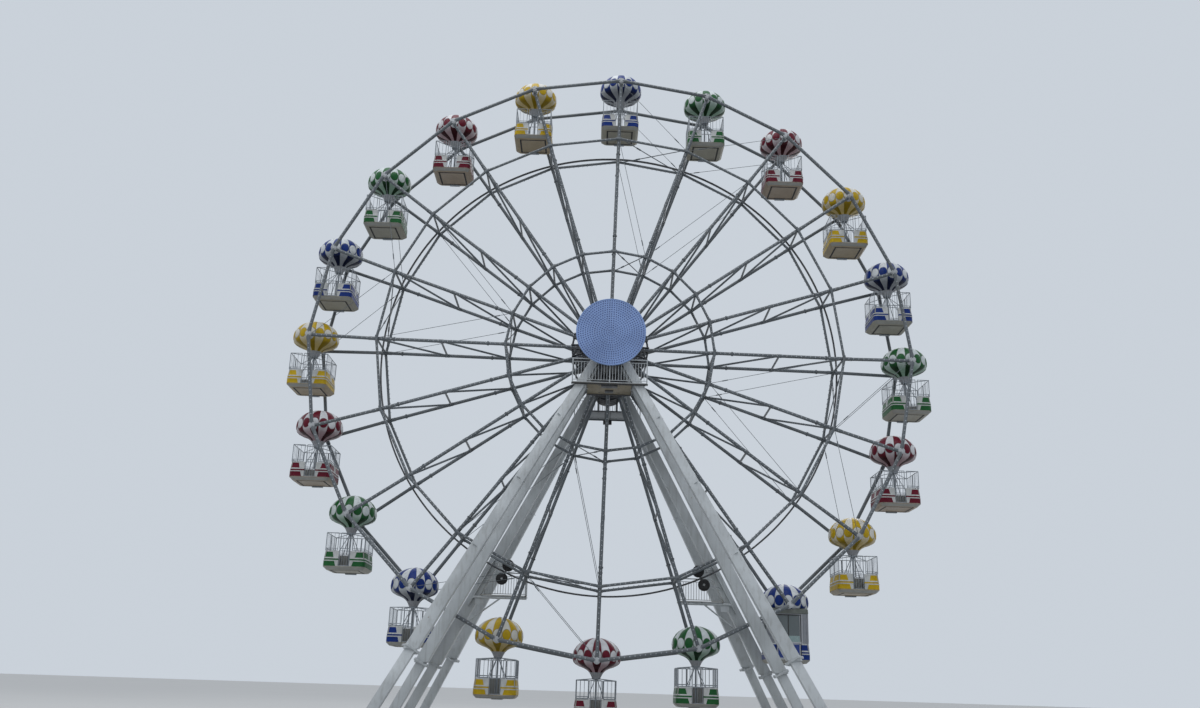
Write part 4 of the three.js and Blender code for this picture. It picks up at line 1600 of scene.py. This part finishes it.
@dataclass(frozen=True)
class Drive:
    """One of the two drives: a plate on the leg, tyres that pinch the drive ring, motors and a deck."""

    side: int
    plan: WheelPlan = PLAN
    tower: Tower = Tower()
    angle: float = math.radians(156)
    ring_half: float = 0.0396
    ring_corners: int = 60
    tyre: float = 0.25
    tyre_half: float = 0.08
    clear: float = 0.005
    plate: Span = (8.7, 10.65)
    plate_half: float = 0.14
    carrier: float = 0.042
    arms: tuple[tuple[str, float], ...] = (("upper", 8.9), ("lower", 9.65))
    deck_below: float = 10.2
    deck_x: Span = (3.2, 5.08)
    deck_y: Span = (1.46, 2.35)
    tube: float = 0.06
    knee: float = 0.034
    knee_x: float = 4.25

    @property
    def word(self) -> str:
        """The side's name."""
        return "right" if self.side > 0 else "left"

    @property
    def radii(self) -> dict[str, float]:
        """The places of the two tyres' axles, clear of the ring's corners and flats.

        Returns:
            How far each is from the hub, by the tyre's level.
        """
        ring, away = self.plan.drive_radius, self.clear + self.tyre
        upper = (ring - self.ring_half) * math.cos(math.pi / self.ring_corners) - away
        return {"upper": upper, "lower": ring + self.ring_half + away}

    @property
    def back(self) -> float:
        """The depth of the tyres' rear sides."""
        return self.plan.drive_y + self.tyre_half

    @property
    def deck_z(self) -> float:
        """The height of the deck."""
        return self.plan.hub_z - self.deck_below

    def point(self, radius: float, y: float) -> Vector:
        """A point on the line from the hub through the tyres, on the right."""
        return self.plan.at(self.angle, radius, y) + Z_AXIS * self.plan.hub_z

    def face(self, below: float, depth: float = 0.0) -> Vector:
        """A point on the front of the inner leg, on the right."""
        z = self.plan.hub_z - below
        return Vector((self.tower.leg_x(z), self.tower.inner_face - 0.02 - depth, z))

    def leg_plate(self) -> Piece:
        """The plate that bolts the drive to the leg.

        Returns:
            The plate and its bolts.
        """
        top, bottom = [self.face(below) for below in self.plate]
        half, edge, count = (top - bottom).length / 2, 0.1, 8
        plate = Bench.slab(ORIGIN, (self.plate_half, 0.019, half), 0.006)
        bolt = Bench.rod((0, -0.045, edge - half), (0, 0, edge - half), 0.022, 6)
        bolts = Bench.row(bolt, count, (0, 0, 2 * (half - edge) / (count - 1)))
        return Bench.place(Bench.join([plate, bolts]), leaning((top + bottom) / 2, top - bottom))

    def motor(self, level: str) -> Piece:
        """The gearbox behind a tyre, with its finned motor.

        Args:
            level: upper or lower.

        Returns:
            The motor, on the right.
        """
        back, end = self.back, self.back + 0.15
        profile = [(back + 0.006, 0.05), (back + 0.012, 0.062), (back + 0.05, 0.062), (back + 0.052, 0.085)]
        gearbox = Bench.turned([*profile, (end - 0.02, 0.085), (end, 0.07)], 20, Y_AXIS)
        ring = ((end, 0.07), (end + 0.004, 0.082), (end + 0.012, 0.082), (end + 0.016, 0.07))
        fins = Bench.row(Bench.turned(ring, 20, Y_AXIS), 5, (0, 0.018, 0))
        place = self.point(self.radii[level], 0)
        return dress(Bench.shift(Bench.join([gearbox, fins]), place.x, 0, place.z), "hub")

    def mount(self) -> Piece:
        """The fixed part of the right-hand drive.

        Returns:
            The plate, the tyres' carrier with its arms, the motors and the deck.
        """
        y, past = self.back + 0.06, 0.12
        ends = [self.point(self.radii["upper"] - past, y), self.point(self.radii["lower"] + past, y)]
        pieces = [self.leg_plate(), Bench.rod(*ends, self.carrier, 12)]
        for level, below in self.arms:
            axle, root = self.point(self.radii[level], y), self.face(below, 0.02)
            for rise in (-0.05, 0.05):
                pieces.append(Bench.rod(axle + Z_AXIS * rise, root + Z_AXIS * rise, 0.02, 8))
        steelwork = dress(Bench.join(pieces + self.service_deck()), "tower")
        (x0, x1), (y0, y1), z = self.deck_x, self.deck_y, self.deck_z
        floor = dress(Bench.block((x0, y0, z - 0.02), (x1, y1, z), 0.004), "deck")
        return Bench.join([steelwork, floor, *[self.motor(level) for level in self.radii]])

    def service_deck(self) -> list[Piece]:
        """The steelwork of the deck.

        Returns:
            The frame, its thick tube, the knee brace with its gusset, and the railing.
        """
        (x0, x1), (y0, y1), z = self.deck_x, self.deck_y, self.deck_z
        y, beam_z, low = self.tower.inner_face - 0.105, z - 0.1, z - 1.35
        leg = self.tower.leg_x(z - 0.11)
        pieces = [Bench.rod((x0, y, beam_z), (leg, y, beam_z), self.tube, 20)]
        pieces.append(Bench.rod((x0 - 0.012, y, beam_z), (x0, y, beam_z), self.tube + 0.007, 20))
        foot = (self.tower.leg_x(low) - 0.16, y + 0.03, low)
        pieces.append(Bench.rod((self.knee_x, y, beam_z), foot, self.knee, 12))
        pieces.append(Bench.block((leg - 0.46, y - 0.008, z - 0.4), (leg - 0.1, y + 0.008, beam_z)))
        wide, (under, over) = 0.05, (z - 0.05, z - 0.015)
        pieces += [Bench.block((x0, y, under), (x1, y + wide, over), 0.004) for y in (y0, y1 - wide)]
        cross = (x0, (x0 + x1) / 2, x1 - wide)
        pieces += [Bench.block((x, y0, under), (x + wide, y1, over), 0.004) for x in cross]
        edge = 0.04
        run = [(x0 + edge, y0 + edge), (x0 + edge, y1 - edge), (x1 - edge, y1 - edge)]
        return pieces + self.tower.fence(run, z, 0.11)

    def tyre_piece(self, level: str) -> None:
        """One drive tyre: a grooved tread, its rim, its hub cap and the wheel nuts.

        Args:
            level: upper or lower.
        """
        r, half = self.tyre, self.tyre_half
        tread = [(-half, 0.046), (-half, 0.2), (-half + 0.012, 0.232), (-half + 0.026, r - 0.003)]
        tread += [(-0.034, r - 0.001), (-0.031, r - 0.011), (-0.025, r - 0.011), (-0.022, r)]
        rubber = dress(Bench.turned(tread + mirrored(tread), 48, Y_AXIS), "rubber")
        rim = ((-half + 0.002, 0.04), (-half - 0.002, 0.05), (-half + 0.004, 0.054))
        rim += ((half - 0.004, 0.054), (half - 0.001, 0.04))
        cap = ((-half - 0.002, 0.02), (-half, 0.028), (-half + 0.01, 0.03))
        nut = Bench.rod((0.04, -half - 0.004, 0), (0.04, -half + 0.006, 0), 0.006, 6)
        metal = [Bench.turned(rim, 32, Y_AXIS), Bench.turned(cap, 20, Y_AXIS), Bench.round(nut, 6)]
        whole = Bench.join([rubber, dress(Bench.join(metal), "galvanised")])
        Bench.soften(whole, 35)
        place = self.point(self.radii[level], self.plan.drive_y)
        Bench.shift(whole, self.side * place.x, place.y, place.z)
        name = f"{self.word}_{level}"
        deliver(whole, f"{name}_drive_tyre", f"{name}_roller", [f"{name}_tyre"])

    def build(self) -> None:
        """Models the drive and its two tyres."""
        mount = self.mount()
        Bench.soften(mount, 30)
        if self.side < 0:
            Bench.mirror(mount, X_AXIS)
        deliver(mount, f"{self.word}_drive_unit", "tower", [f"{self.word}_drive"])
        for level in self.radii:
            self.tyre_piece(level)


@dataclass(frozen=True)
class Gondola:
    """A basket under a balloon, measured from its axle."""

    plan: WheelPlan = PLAN
    closed: int = 8
    gores: int = 16
    per_gore: int = 4
    lobe: float = 0.968
    lobe_z: Span = (-0.5, 0.88)
    outline: Profile = (
        (-0.64, 0.165), (-0.6, 0.185), (-0.5, 0.235), (-0.42, 0.285), (-0.34, 0.37), (-0.27, 0.50),
        (-0.21, 0.68), (-0.13, 0.84), (-0.05, 0.925), (0.05, 0.96), (0.17, 0.975), (0.30, 0.96),
        (0.378, 0.94), (0.44, 0.905), (0.58, 0.815), (0.70, 0.69), (0.79, 0.54), (0.86, 0.37),
        (0.90, 0.21), (0.912, 0.09),
    )
    crown: Profile = ((0.875, 0.13), (0.9, 0.125), (0.925, 0.07), (0.938, 0.03))
    collar: Profile = ((-0.70, 0.1), (-0.685, 0.17), (-0.63, 0.175), (-0.62, 0.16))
    axle_plate: Profile = ((0.93, 0.11), (0.985, 0.135), (1.0, 0.135), (1.012, 0.1))
    axle: Span = (1.119, 0.042)
    column: float = 0.038
    floor: float = -2.15
    sill: float = -2.06
    top: float = -1.45
    recess: Span = (0.515, 0.545)
    keel: Span = (0.74, 0.77)
    rim: Span = (0.815, 0.855)
    band: Span = (0.855, 0.895)
    band_steps: Profile = (
        (-2.092, 0.02), (-2.078, 0.005), (-2.072, 0.005), (-2.068, 0.018), (-2.056, 0.018),
        (-2.05, 0.006), (-1.86, 0.008), (-1.845, 0), (-1.827, 0), (-1.821, 0.016), (-1.765, 0.018),
        (-1.76, 0.003), (-1.75, 0.014),
    )
    skin: float = 0.075
    cage_top: float = -0.73
    cage_half: Span = (0.78, 0.82)
    bar: float = 0.014
    thin_bar: float = 0.0072
    door: float = 0.23
    window: float = 0.5
    window_z: Span = (-1.42, -0.33)
    low_pane: float = -1.15
    wall_half: Span = (0.8, 0.84)
    roof_z: Span = (-0.30, -0.09)
    ribs: tuple[Span, ...] = ((0.61, 0.84), (0.69, 0.84), (0.74, 0.84), (0.8, 0.66), (0.8, 0.74))

    def balloon(self) -> Piece:
        """The lobed balloon, drawn up from its neck and drawn in at its seams.

        Returns:
            The balloon, with its UV map.
        """
        piece = Bench.turned(self.outline, self.gores * self.per_gore)
        mesh = Bench.edit(piece, "VERT", False)
        gore, (low, high) = 2 * math.pi / self.gores, self.lobe_z
        for vertex in mesh.verts:
            angle = (math.atan2(vertex.co.x, vertex.co.y) + gore / 2) % gore
            vertex.select = min(angle, gore - angle) < 0.02 and low < vertex.co.z < high
        mesh.select_flush_mode()
        bpy.ops.transform.resize(value=(self.lobe, self.lobe, 1), center_override=ORIGIN)
        Bench.close()
        Bench.soften(piece, 60)
        self.map_gores(piece, gore)
        return piece

    def map_gores(self, piece: Piece, gore: float) -> None:
        """Gives a balloon its UV map: how many gores round it a point is, and the height.

        Args:
            piece: The balloon.
            gore: The angle that one gore takes up.
        """
        layer = piece.data.uv_layers.new(name="pattern")
        for face in piece.data.polygons:
            middle = math.atan2(face.center.x, face.center.y)
            for loop in face.loop_indices:
                co = piece.data.vertices[piece.data.loops[loop].vertex_index].co
                away = math.remainder(math.atan2(co.x, co.y) - middle, 2 * math.pi)
                layer.data[loop].uv = ((middle + away) / gore + self.gores * 2 + 1.5, co.z)

    def fittings(self) -> Piece:
        """The steelwork of a balloon.

        Returns:
            The crown cap, the neck collar, the axle with its plates, the column and its foot.
        """
        (reach, radius), floor = self.axle, self.floor
        foot = ((floor - 0.01, 0.17), (floor + 0.02, 0.16), (floor + 0.05, 0.06))
        pieces = [Bench.turned(self.crown, 24), Bench.turned(self.collar, 24), Bench.turned(foot, 20)]
        pieces.append(Bench.rod((0, -reach, 0), (0, reach, 0), radius, 16))
        pieces.append(Bench.rod((0, 0, floor), (0, 0, -0.66), self.column, 16))
        plates = Bench.round(Bench.turned(self.axle_plate, 12, Y_AXIS), 2, Z_AXIS)
        fittings = Bench.join([dress(Bench.join(pieces), "cage"), dress(plates, "fitting")])
        Bench.soften(fittings, 35)
        return fittings

    def drawn_in(self, half: Span, steps: Iterable[Span]) -> list[tuple[float, float, float]]:
        """The levels of a form whose sides are drawn in from one outline.

        Args:
            half: The outline's half lengths along X and Y.
            steps: The height of each level and how far it is drawn in.

        Returns:
            The height and the half lengths of each level.
        """
        return [(z, half[0] - inset, half[1] - inset) for z, inset in steps]

    def shell(self) -> Piece:
        """The moulded hull with its inside, drawn up from the recess under the floor.

        Returns:
            The hull.
        """
        top, floor = self.top, self.floor
        levels = self.drawn_in(self.recess, ((-2.19, 0.015), (-2.2, 0)))
        levels += self.drawn_in(self.keel, ((-2.2, 0.03), (-2.192, 0.005)))
        levels += self.drawn_in(self.band, self.band_steps)
        levels += self.drawn_in(self.rim, ((top - 0.05, 0.004), (top - 0.03, 0), (top - 0.006, 0)))
        levels += self.drawn_in(self.rim, ((top, 0.01), (top, 0.045), (top - 0.01, 0.055)))
        levels += self.drawn_in(self.band, ((floor + 0.05, 0.09), (floor, 0.12)))
        return Bench.stack(levels, 0.11)

    def map_round(self, piece: Piece) -> None:
        """Gives a hull its UV map: the way round from the front's middle, and the height.

        Args:
            piece: The hull.
        """
        layer = piece.data.uv_layers.new(name="pattern")
        hx, hy = self.band
        for loop in piece.data.loops:
            co = piece.data.vertices[loop.vertex_index].co
            reach = max(abs(co.x) / hx, abs(co.y) / hy, 1e-6)
            x, y = abs(co.x) / reach, co.y / reach
            if abs(co.x) / hx >= abs(co.y) / hy:
                way = hx + (y + hy)
            else:
                way = x if co.y < 0 else hx + 2 * hy + (hx - x)
            layer.data[loop.index].uv = (way, co.z)

    def line(self, piece: Piece) -> None:
        """Gives the inside of a hull its lining.

        Args:
            piece: The hull, dressed in its shell's finish.
        """
        piece.data.materials.append(FINISH["lining"])
        hx, hy = [half - self.skin for half in self.band]
        for face in piece.data.polygons:
            c = face.center
            if max(abs(c.x) / hx, abs(c.y) / hy) < 1 and c.z > self.floor - 0.02:
                face.material_index = 1

    def basket(self, skin: bpy.types.Material, door: float) -> Piece:
        """The hull with its doorway, the dark outline under it and the block behind.

        Args:
            skin: The shell's finish.
            door: Half the width of the doorway.

        Returns:
            The basket, whose first finish is the shell's.
        """
        shell = self.shell()
        Bench.cut(shell, Bench.block((-door, -1.1, self.sill), (door, -0.7, self.top + 0.2)))
        self.map_round(shell)
        shell.data.materials.clear()
        shell.data.materials.append(skin)
        self.line(shell)
        Bench.soften(shell, 30)
        bars = []
        for side in SIDES:
            for x, y, wide, deep in ((0, side * 0.595, 0.6, 0.036), (side * 0.565, 0, 0.036, 0.63)):
                bars.append(Bench.block((x - wide, y - deep, -2.204), (x + wide, y + deep, -2.197)))
        step = Bench.block((-0.23, 0.6, -2.25), (0.23, 0.72, -2.2), 0.008)
        return Bench.join([shell, dress(Bench.join(bars), "groove"), dress(step, "cage")])

    def panel(self, start: Span, end: Span, low: float, bars: int) -> list[Piece]:
        """A cage panel: two posts, a top and a bottom rail and thin upright bars.

        Args:
            start: One lower corner, seen from above.
            end: The other one.
            low: The height of the bottom rail.
            bars: How many thin bars stand between the posts.

        Returns:
            The panel's pieces.
        """
        a, b = Vector((*start, 0)), Vector((*end, 0))
        bottom, top = Z_AXIS * low, Z_AXIS * self.cage_top
        pieces = [Bench.rod(a + rise, b + rise, self.bar, 8) for rise in (bottom, top)]
        pieces += [Bench.rod(post + bottom, post + top, self.bar, 8) for post in (a, b)]
        step = (b - a) / (bars + 1)
        bar = Bench.rod(a + step + bottom, a + step + top, self.thin_bar, 6)
        return pieces + [Bench.row(bar, bars, step)]

    def cage(self) -> Piece:
        """The cage over the rim.

        Returns:
            The bar panels on every side, the barred door and the struts to the neck.
        """
        (cx, cy), rail, gate = self.cage_half, self.top + 0.1, -self.cage_half[1] - 0.012
        low = self.top + 0.03
        runs = [((x0, y), (x1, y), 2) for y in (-cy, cy) for x0, x1 in ((-cx, -0.3), (0.3, cx))]
        runs += [((x, y0), (x, y1), 3) for x in (-cx, cx) for y0, y1 in ((-cy, -0.03), (0.03, cy))]
        pieces = self.panel((-0.27, cy), (0.27, cy), low, 2)
        pieces += self.panel((-0.2, gate), (0.2, gate), self.sill + 0.02, 3)
        pieces += [Bench.rod((-0.2, gate, z), (0.2, gate, z), 0.015, 8) for z in (self.top, rail)]
        for start, end, bars in runs:
            pieces += self.panel(start, end, low, bars)
            pieces.append(Bench.rod((*start, rail), (*end, rail), 0.013, 8))
        for sx in SIDES:
            for sy in SIDES:
                corner, knee = (sx * cx, sy * cy, self.cage_top), (sx * 0.33, sy * 0.4, -1.42)
                pieces.append(Bench.rod((sx * cx, sy * cy, self.top), corner, 0.017, 8))
                pieces.append(Bench.rod((sx * 0.11, sy * 0.11, -0.66), corner, self.bar, 8))
                pieces.append(Bench.rod((sx * 0.05, sy * 0.05, -0.7), knee, 0.015, 8))
                pieces.append(Bench.rod(knee, (sx * 0.62, sy * 0.7, -2.1), 0.015, 8))
        cage = dress(Bench.join(pieces), "cage")
        Bench.soften(cage, 50)
        return cage

    def cabin_walls(self) -> list[Piece]:
        """The closed cabin's walls, with ribs beside their window openings, and its roof.

        Returns:
            The walls and the roof.
        """
        half, (sill, head), (under, top) = self.window, self.window_z, self.roof_z
        walls = Bench.stack(self.drawn_in(self.wall_half, ((self.top - 0.01, 0), (under + 0.02, 0))), 0.11)
        inside = self.drawn_in(self.wall_half, ((self.top - 0.1, 0.045), (under + 0.1, 0.045)))
        Bench.cut(walls, Bench.stack(inside, 0.09))
        for low, high in (
            ((-half, -1.1, self.top - 0.1), (half, -0.7, head)),
            ((-half, 0.7, sill), (half, 1.1, head)),
            ((-1.1, -half, sill), (-0.65, half, head)),
            ((0.65, -half, sill), (1.1, half, head)),
        ):
            Bench.cut(walls, Bench.block(low, high))
        ribs = []
        for x, y in self.ribs:
            for sx in SIDES:
                for sy in SIDES:
                    foot = (sx * x, sy * y, self.top + 0.02)
                    ribs.append(Bench.rod(foot, (sx * x, sy * y, under), 0.011, 8))
        eaves = ((under, 0), (under + 0.02, -0.02), (top - 0.03, -0.01), (top, 0.04))
        roof = Bench.stack(self.drawn_in(self.wall_half, eaves), 0.12)
        return [dress(Bench.join([walls, *ribs]), "cabin_wall"), dress(roof, "roof")]

    def cabin_window(self, turn: int, reach: float, base: float) -> tuple[Piece, Piece]:
        """The window of one side of the closed cabin.

        Args:
            turn: How many quarter turns the side is from the front.
            reach: How far it is from the column.
            base: The height of the frame's lower edge.

        Returns:
            The pale frame, and the panes with their dark bars.
        """
        half, (sill, head) = self.window, self.window_z
        near, far, edge = -reach - 0.02, -reach + 0.02, half - 0.05
        bars = [Bench.block((-half, near, base), (half, far, base + 0.04), 0.004)]
        for x in (-half - 0.045, -half + 0.035, half - 0.055, half + 0.025):
            bars.append(Bench.block((x, near, base), (x + 0.022, far, head), 0.004))
        if turn == 0:
            bars.append(Bench.block((-half, near - 0.001, sill - 0.03), (half, far, sill + 0.03), 0.004))
        panes = []
        for finish, low, high, bevel in (
            ("groove", (-half, near, head - 0.035), (half, far, head), 0.004),
            ("groove", (-0.012, near, base), (0.012, far, head), 0.003),
            ("low_pane", (-edge, -reach - 0.006, sill), (edge, -reach + 0.006, self.low_pane), 0.001),
            ("glass", (-edge, -reach - 0.004, sill), (edge, -reach + 0.004, head - 0.03), 0.001),
        ):
            panes.append(dress(Bench.block(low, high, bevel), finish))
        side = Matrix.Rotation(turn * math.pi / 2, 4, "Z")
        return Bench.place(Bench.join(bars), side), Bench.place(Bench.join(panes), side)

    def cabin(self, skin: bpy.types.Material) -> tuple[Piece, Piece, Piece]:
        """The closed cabin.

        Args:
            skin: The hull's finish.

        Returns:
            The hull, the walls with their roof, frames and door, and the glass.
        """
        half, sill, foot = self.window, self.window_z[0], self.sill
        trim, panes = [], []
        for turn, reach, base in ((0, 0.83, foot), (2, 0.83, sill), (1, 0.79, sill), (3, 0.79, sill)):
            frame_bars, pane = self.cabin_window(turn, reach, base)
            trim.append(frame_bars)
            panes.append(pane)
        for x in (-half + 0.06, half - 0.078):
            trim.append(Bench.block((x, -0.85, foot + 0.05), (x + 0.018, -0.84, sill - 0.05)))
        for z in (foot + 0.05, sill - 0.066):
            trim.append(Bench.block((-half + 0.06, -0.85, z), (half - 0.06, -0.84, z + 0.016)))
        door = Bench.block((-half + 0.03, -0.842, foot + 0.02), (half - 0.03, -0.82, sill), 0.003)
        frames = [*self.cabin_walls(), dress(Bench.join(trim), "fitting"), dress(door, "door")]
        return self.basket(skin, half), Bench.join(frames), Bench.join(panes)

    def hang(
        self, first: Piece, number: int, name: str, skin: bpy.types.Material | None = None
    ) -> None:
        """Hangs a copy of a piece on one gondola's axle.

        Args:
            first: The piece to copy.
            number: The gondola's number.
            name: The piece's name.
            skin: The finish that takes the place of the piece's first one.
        """
        piece = Bench.shift(Bench.copy(first), *self.plan.axle(number))
        if skin is not None:
            piece.data.materials[0] = skin
        nodes = [f"gondola_{number:02d}"] if name == "balloon" else []
        deliver(piece, f"{name}_{number:02d}", f"cabin_{number:02d}", nodes)

    def build(self) -> None:
        """Models one gondola and the closed cabin, and hangs a copy on every axle."""
        # The painted light tint and the painted shade share of the blue and the yellow balloons, where they
        # differ from the others.
        painted_light_and_shade = {Hue.BLUE: ((0.0, 0.03), 0.14), Hue.YELLOW: ((0.14, 0.5), 0.42)}
        unders = {Hue.RED: [(0.32, 0.255, 0.19)], Hue.YELLOW: [(0.34, 0.275, 0.18)]}
        names = [hue.name.lower() for hue in Hue]
        skins, shells = [], []
        for hue, name in zip(Hue, names):
            skins.append(BalloonSkin(f"balloon_{name}", hue.value, *painted_light_and_shade.get(hue, ())).build())
            shells.append(BasketShell(f"basket_{name}", hue.value, *unders.get(hue, ())).build())
        balloon, fittings = self.balloon(), self.fittings()
        balloon.data.materials.append(skins[0])
        basket, cage = self.basket(shells[0], self.door), self.cage()
        hull, frames, glass = self.cabin(shells[0])
        for k in range(self.plan.count):
            hue = k % len(Hue)
            self.hang(balloon, k, "balloon", skins[hue])
            self.hang(fittings, k, "mast")
            if k == self.closed:
                self.hang(hull, k, "cabin_walls", shells[hue])
                self.hang(frames, k, "cabin_frames")
                self.hang(glass, k, "cabin_glass")
            else:
                self.hang(basket, k, "basket", shells[hue])
                self.hang(cage, k, "cage")
        for piece in (balloon, fittings, basket, cage, hull, frames, glass):
            bpy.data.objects.remove(piece)


@dataclass(frozen=True)
class Light:
    """A soft square light that looks at the hub."""

    name: str
    place: tuple[float, float, float]
    size: float
    power: float

    def build(self) -> None:
        """Sets up the light."""
        data = bpy.data.lights.new(self.name, "AREA")
        data.size = self.size
        data.energy = self.power
        lamp = bpy.data.objects.new(self.name, data)
        lamp.location = self.place
        aim = Vector((0, 0, PLAN.hub_z)) - Vector(self.place)
        lamp.rotation_euler = aim.to_track_quat("-Z", "Y").to_euler()
        bpy.context.scene.collection.objects.link(lamp)


@dataclass(frozen=True)
class Studio:
    """The floor, the soft lights, the overcast sky and the camera."""

    lens: float = 32.33
    sensor: float = 36.0
    far: float = 2000
    place: tuple[float, float, float] = (-0.42, -44.78, 1.62)
    pitch: float = math.radians(107.31)
    roll: float = math.radians(1.8)
    floor_size: float = 1600
    floor_shades: tuple[Colour, Colour] = ((0.47, 0.475, 0.47), (0.51, 0.515, 0.51))
    backdrop: Colour = (0.59, 0.64, 0.70)
    above: Colour = (0.84, 0.88, 0.94)
    below: Colour = (0.12, 0.125, 0.13)
    horizon: Span = (-0.15, 0.5)
    lights: tuple[Light, ...] = (
        Light("overhead", (-8, -10, 54), 40, 7000),
        Light("front", (-26, -50, 22), 26, 900),
        Light("rear", (22, 40, 34), 26, 2500),
    )

    def floor(self) -> None:
        """A wide pale floor."""
        Bench.pick()
        bpy.ops.mesh.primitive_plane_add(size=self.floor_size, location=ORIGIN)
        ground = Bench.settle()
        ground.name = "floor"
        nodes = Nodes("pale_floor")
        nodes.feed(nodes.shader.inputs["Base Color"], nodes.mix(nodes.noise(0.05), *self.floor_shades))
        nodes.shader.inputs["Roughness"].default_value = 0.8
        ground.data.materials.append(nodes.material)

    def camera(self) -> None:
        """The camera where the photographer stood."""
        data = bpy.data.cameras.new("camera")
        data.sensor_fit = "HORIZONTAL"
        data.sensor_width = self.sensor
        data.lens = self.lens
        data.clip_end = self.far
        camera = bpy.data.objects.new("camera", data)
        turn = Matrix.Rotation(self.pitch, 4, "X") @ Matrix.Rotation(self.roll, 4, "Z")
        camera.matrix_world = Matrix.Translation(self.place) @ turn
        bpy.context.scene.collection.objects.link(camera)
        bpy.context.scene.camera = camera

    def sky(self) -> None:
        """An overcast sky, brighter above than below, behind a plain backdrop."""
        world = bpy.data.worlds.new("overcast")
        bpy.context.scene.world = world
        world.use_nodes = True
        new, link = world.node_tree.nodes.new, world.node_tree.links.new
        height, rise = new("ShaderNodeSeparateXYZ"), new("ShaderNodeMapRange")
        link(new("ShaderNodeTexCoord").outputs["Generated"], height.inputs[0])
        link(height.outputs["Z"], rise.inputs["Value"])
        rise.inputs["From Min"].default_value, rise.inputs["From Max"].default_value = self.horizon
        overcast, seen = new("ShaderNodeMix"), new("ShaderNodeMix")
        camera_ray = new("ShaderNodeLightPath").outputs["Is Camera Ray"]
        for mix, share, colours in (
            (overcast, rise.outputs[0], {6: self.below, 7: self.above}),
            (seen, camera_ray, {7: self.backdrop}),
        ):
            mix.data_type = "RGBA"
            link(share, mix.inputs[0])
            for socket, colour in colours.items():
                mix.inputs[socket].default_value = (*colour, 1)
        link(overcast.outputs[2], seen.inputs[6])
        link(seen.outputs[2], world.node_tree.nodes["Background"].inputs[0])

    def build(self) -> None:
        """Sets up the camera, the floor, the sky and the lights."""
        self.camera()
        self.floor()
        self.sky()
        bpy.context.scene.view_settings.view_transform = "Standard"
        for light in self.lights:
            light.build()


def main() -> None:
    """Builds the whole machine and its setting."""
    logging.basicConfig(level=logging.INFO, format="%(name)s: %(message)s")
    for builder in (Studio(), Spokes(), Rings(), Hub(), Tower(), Drive(1), Drive(-1), Gondola()):
        LOG.info("building %s", type(builder).__name__)
        builder.build()


if __name__ == "__main__":
    main()
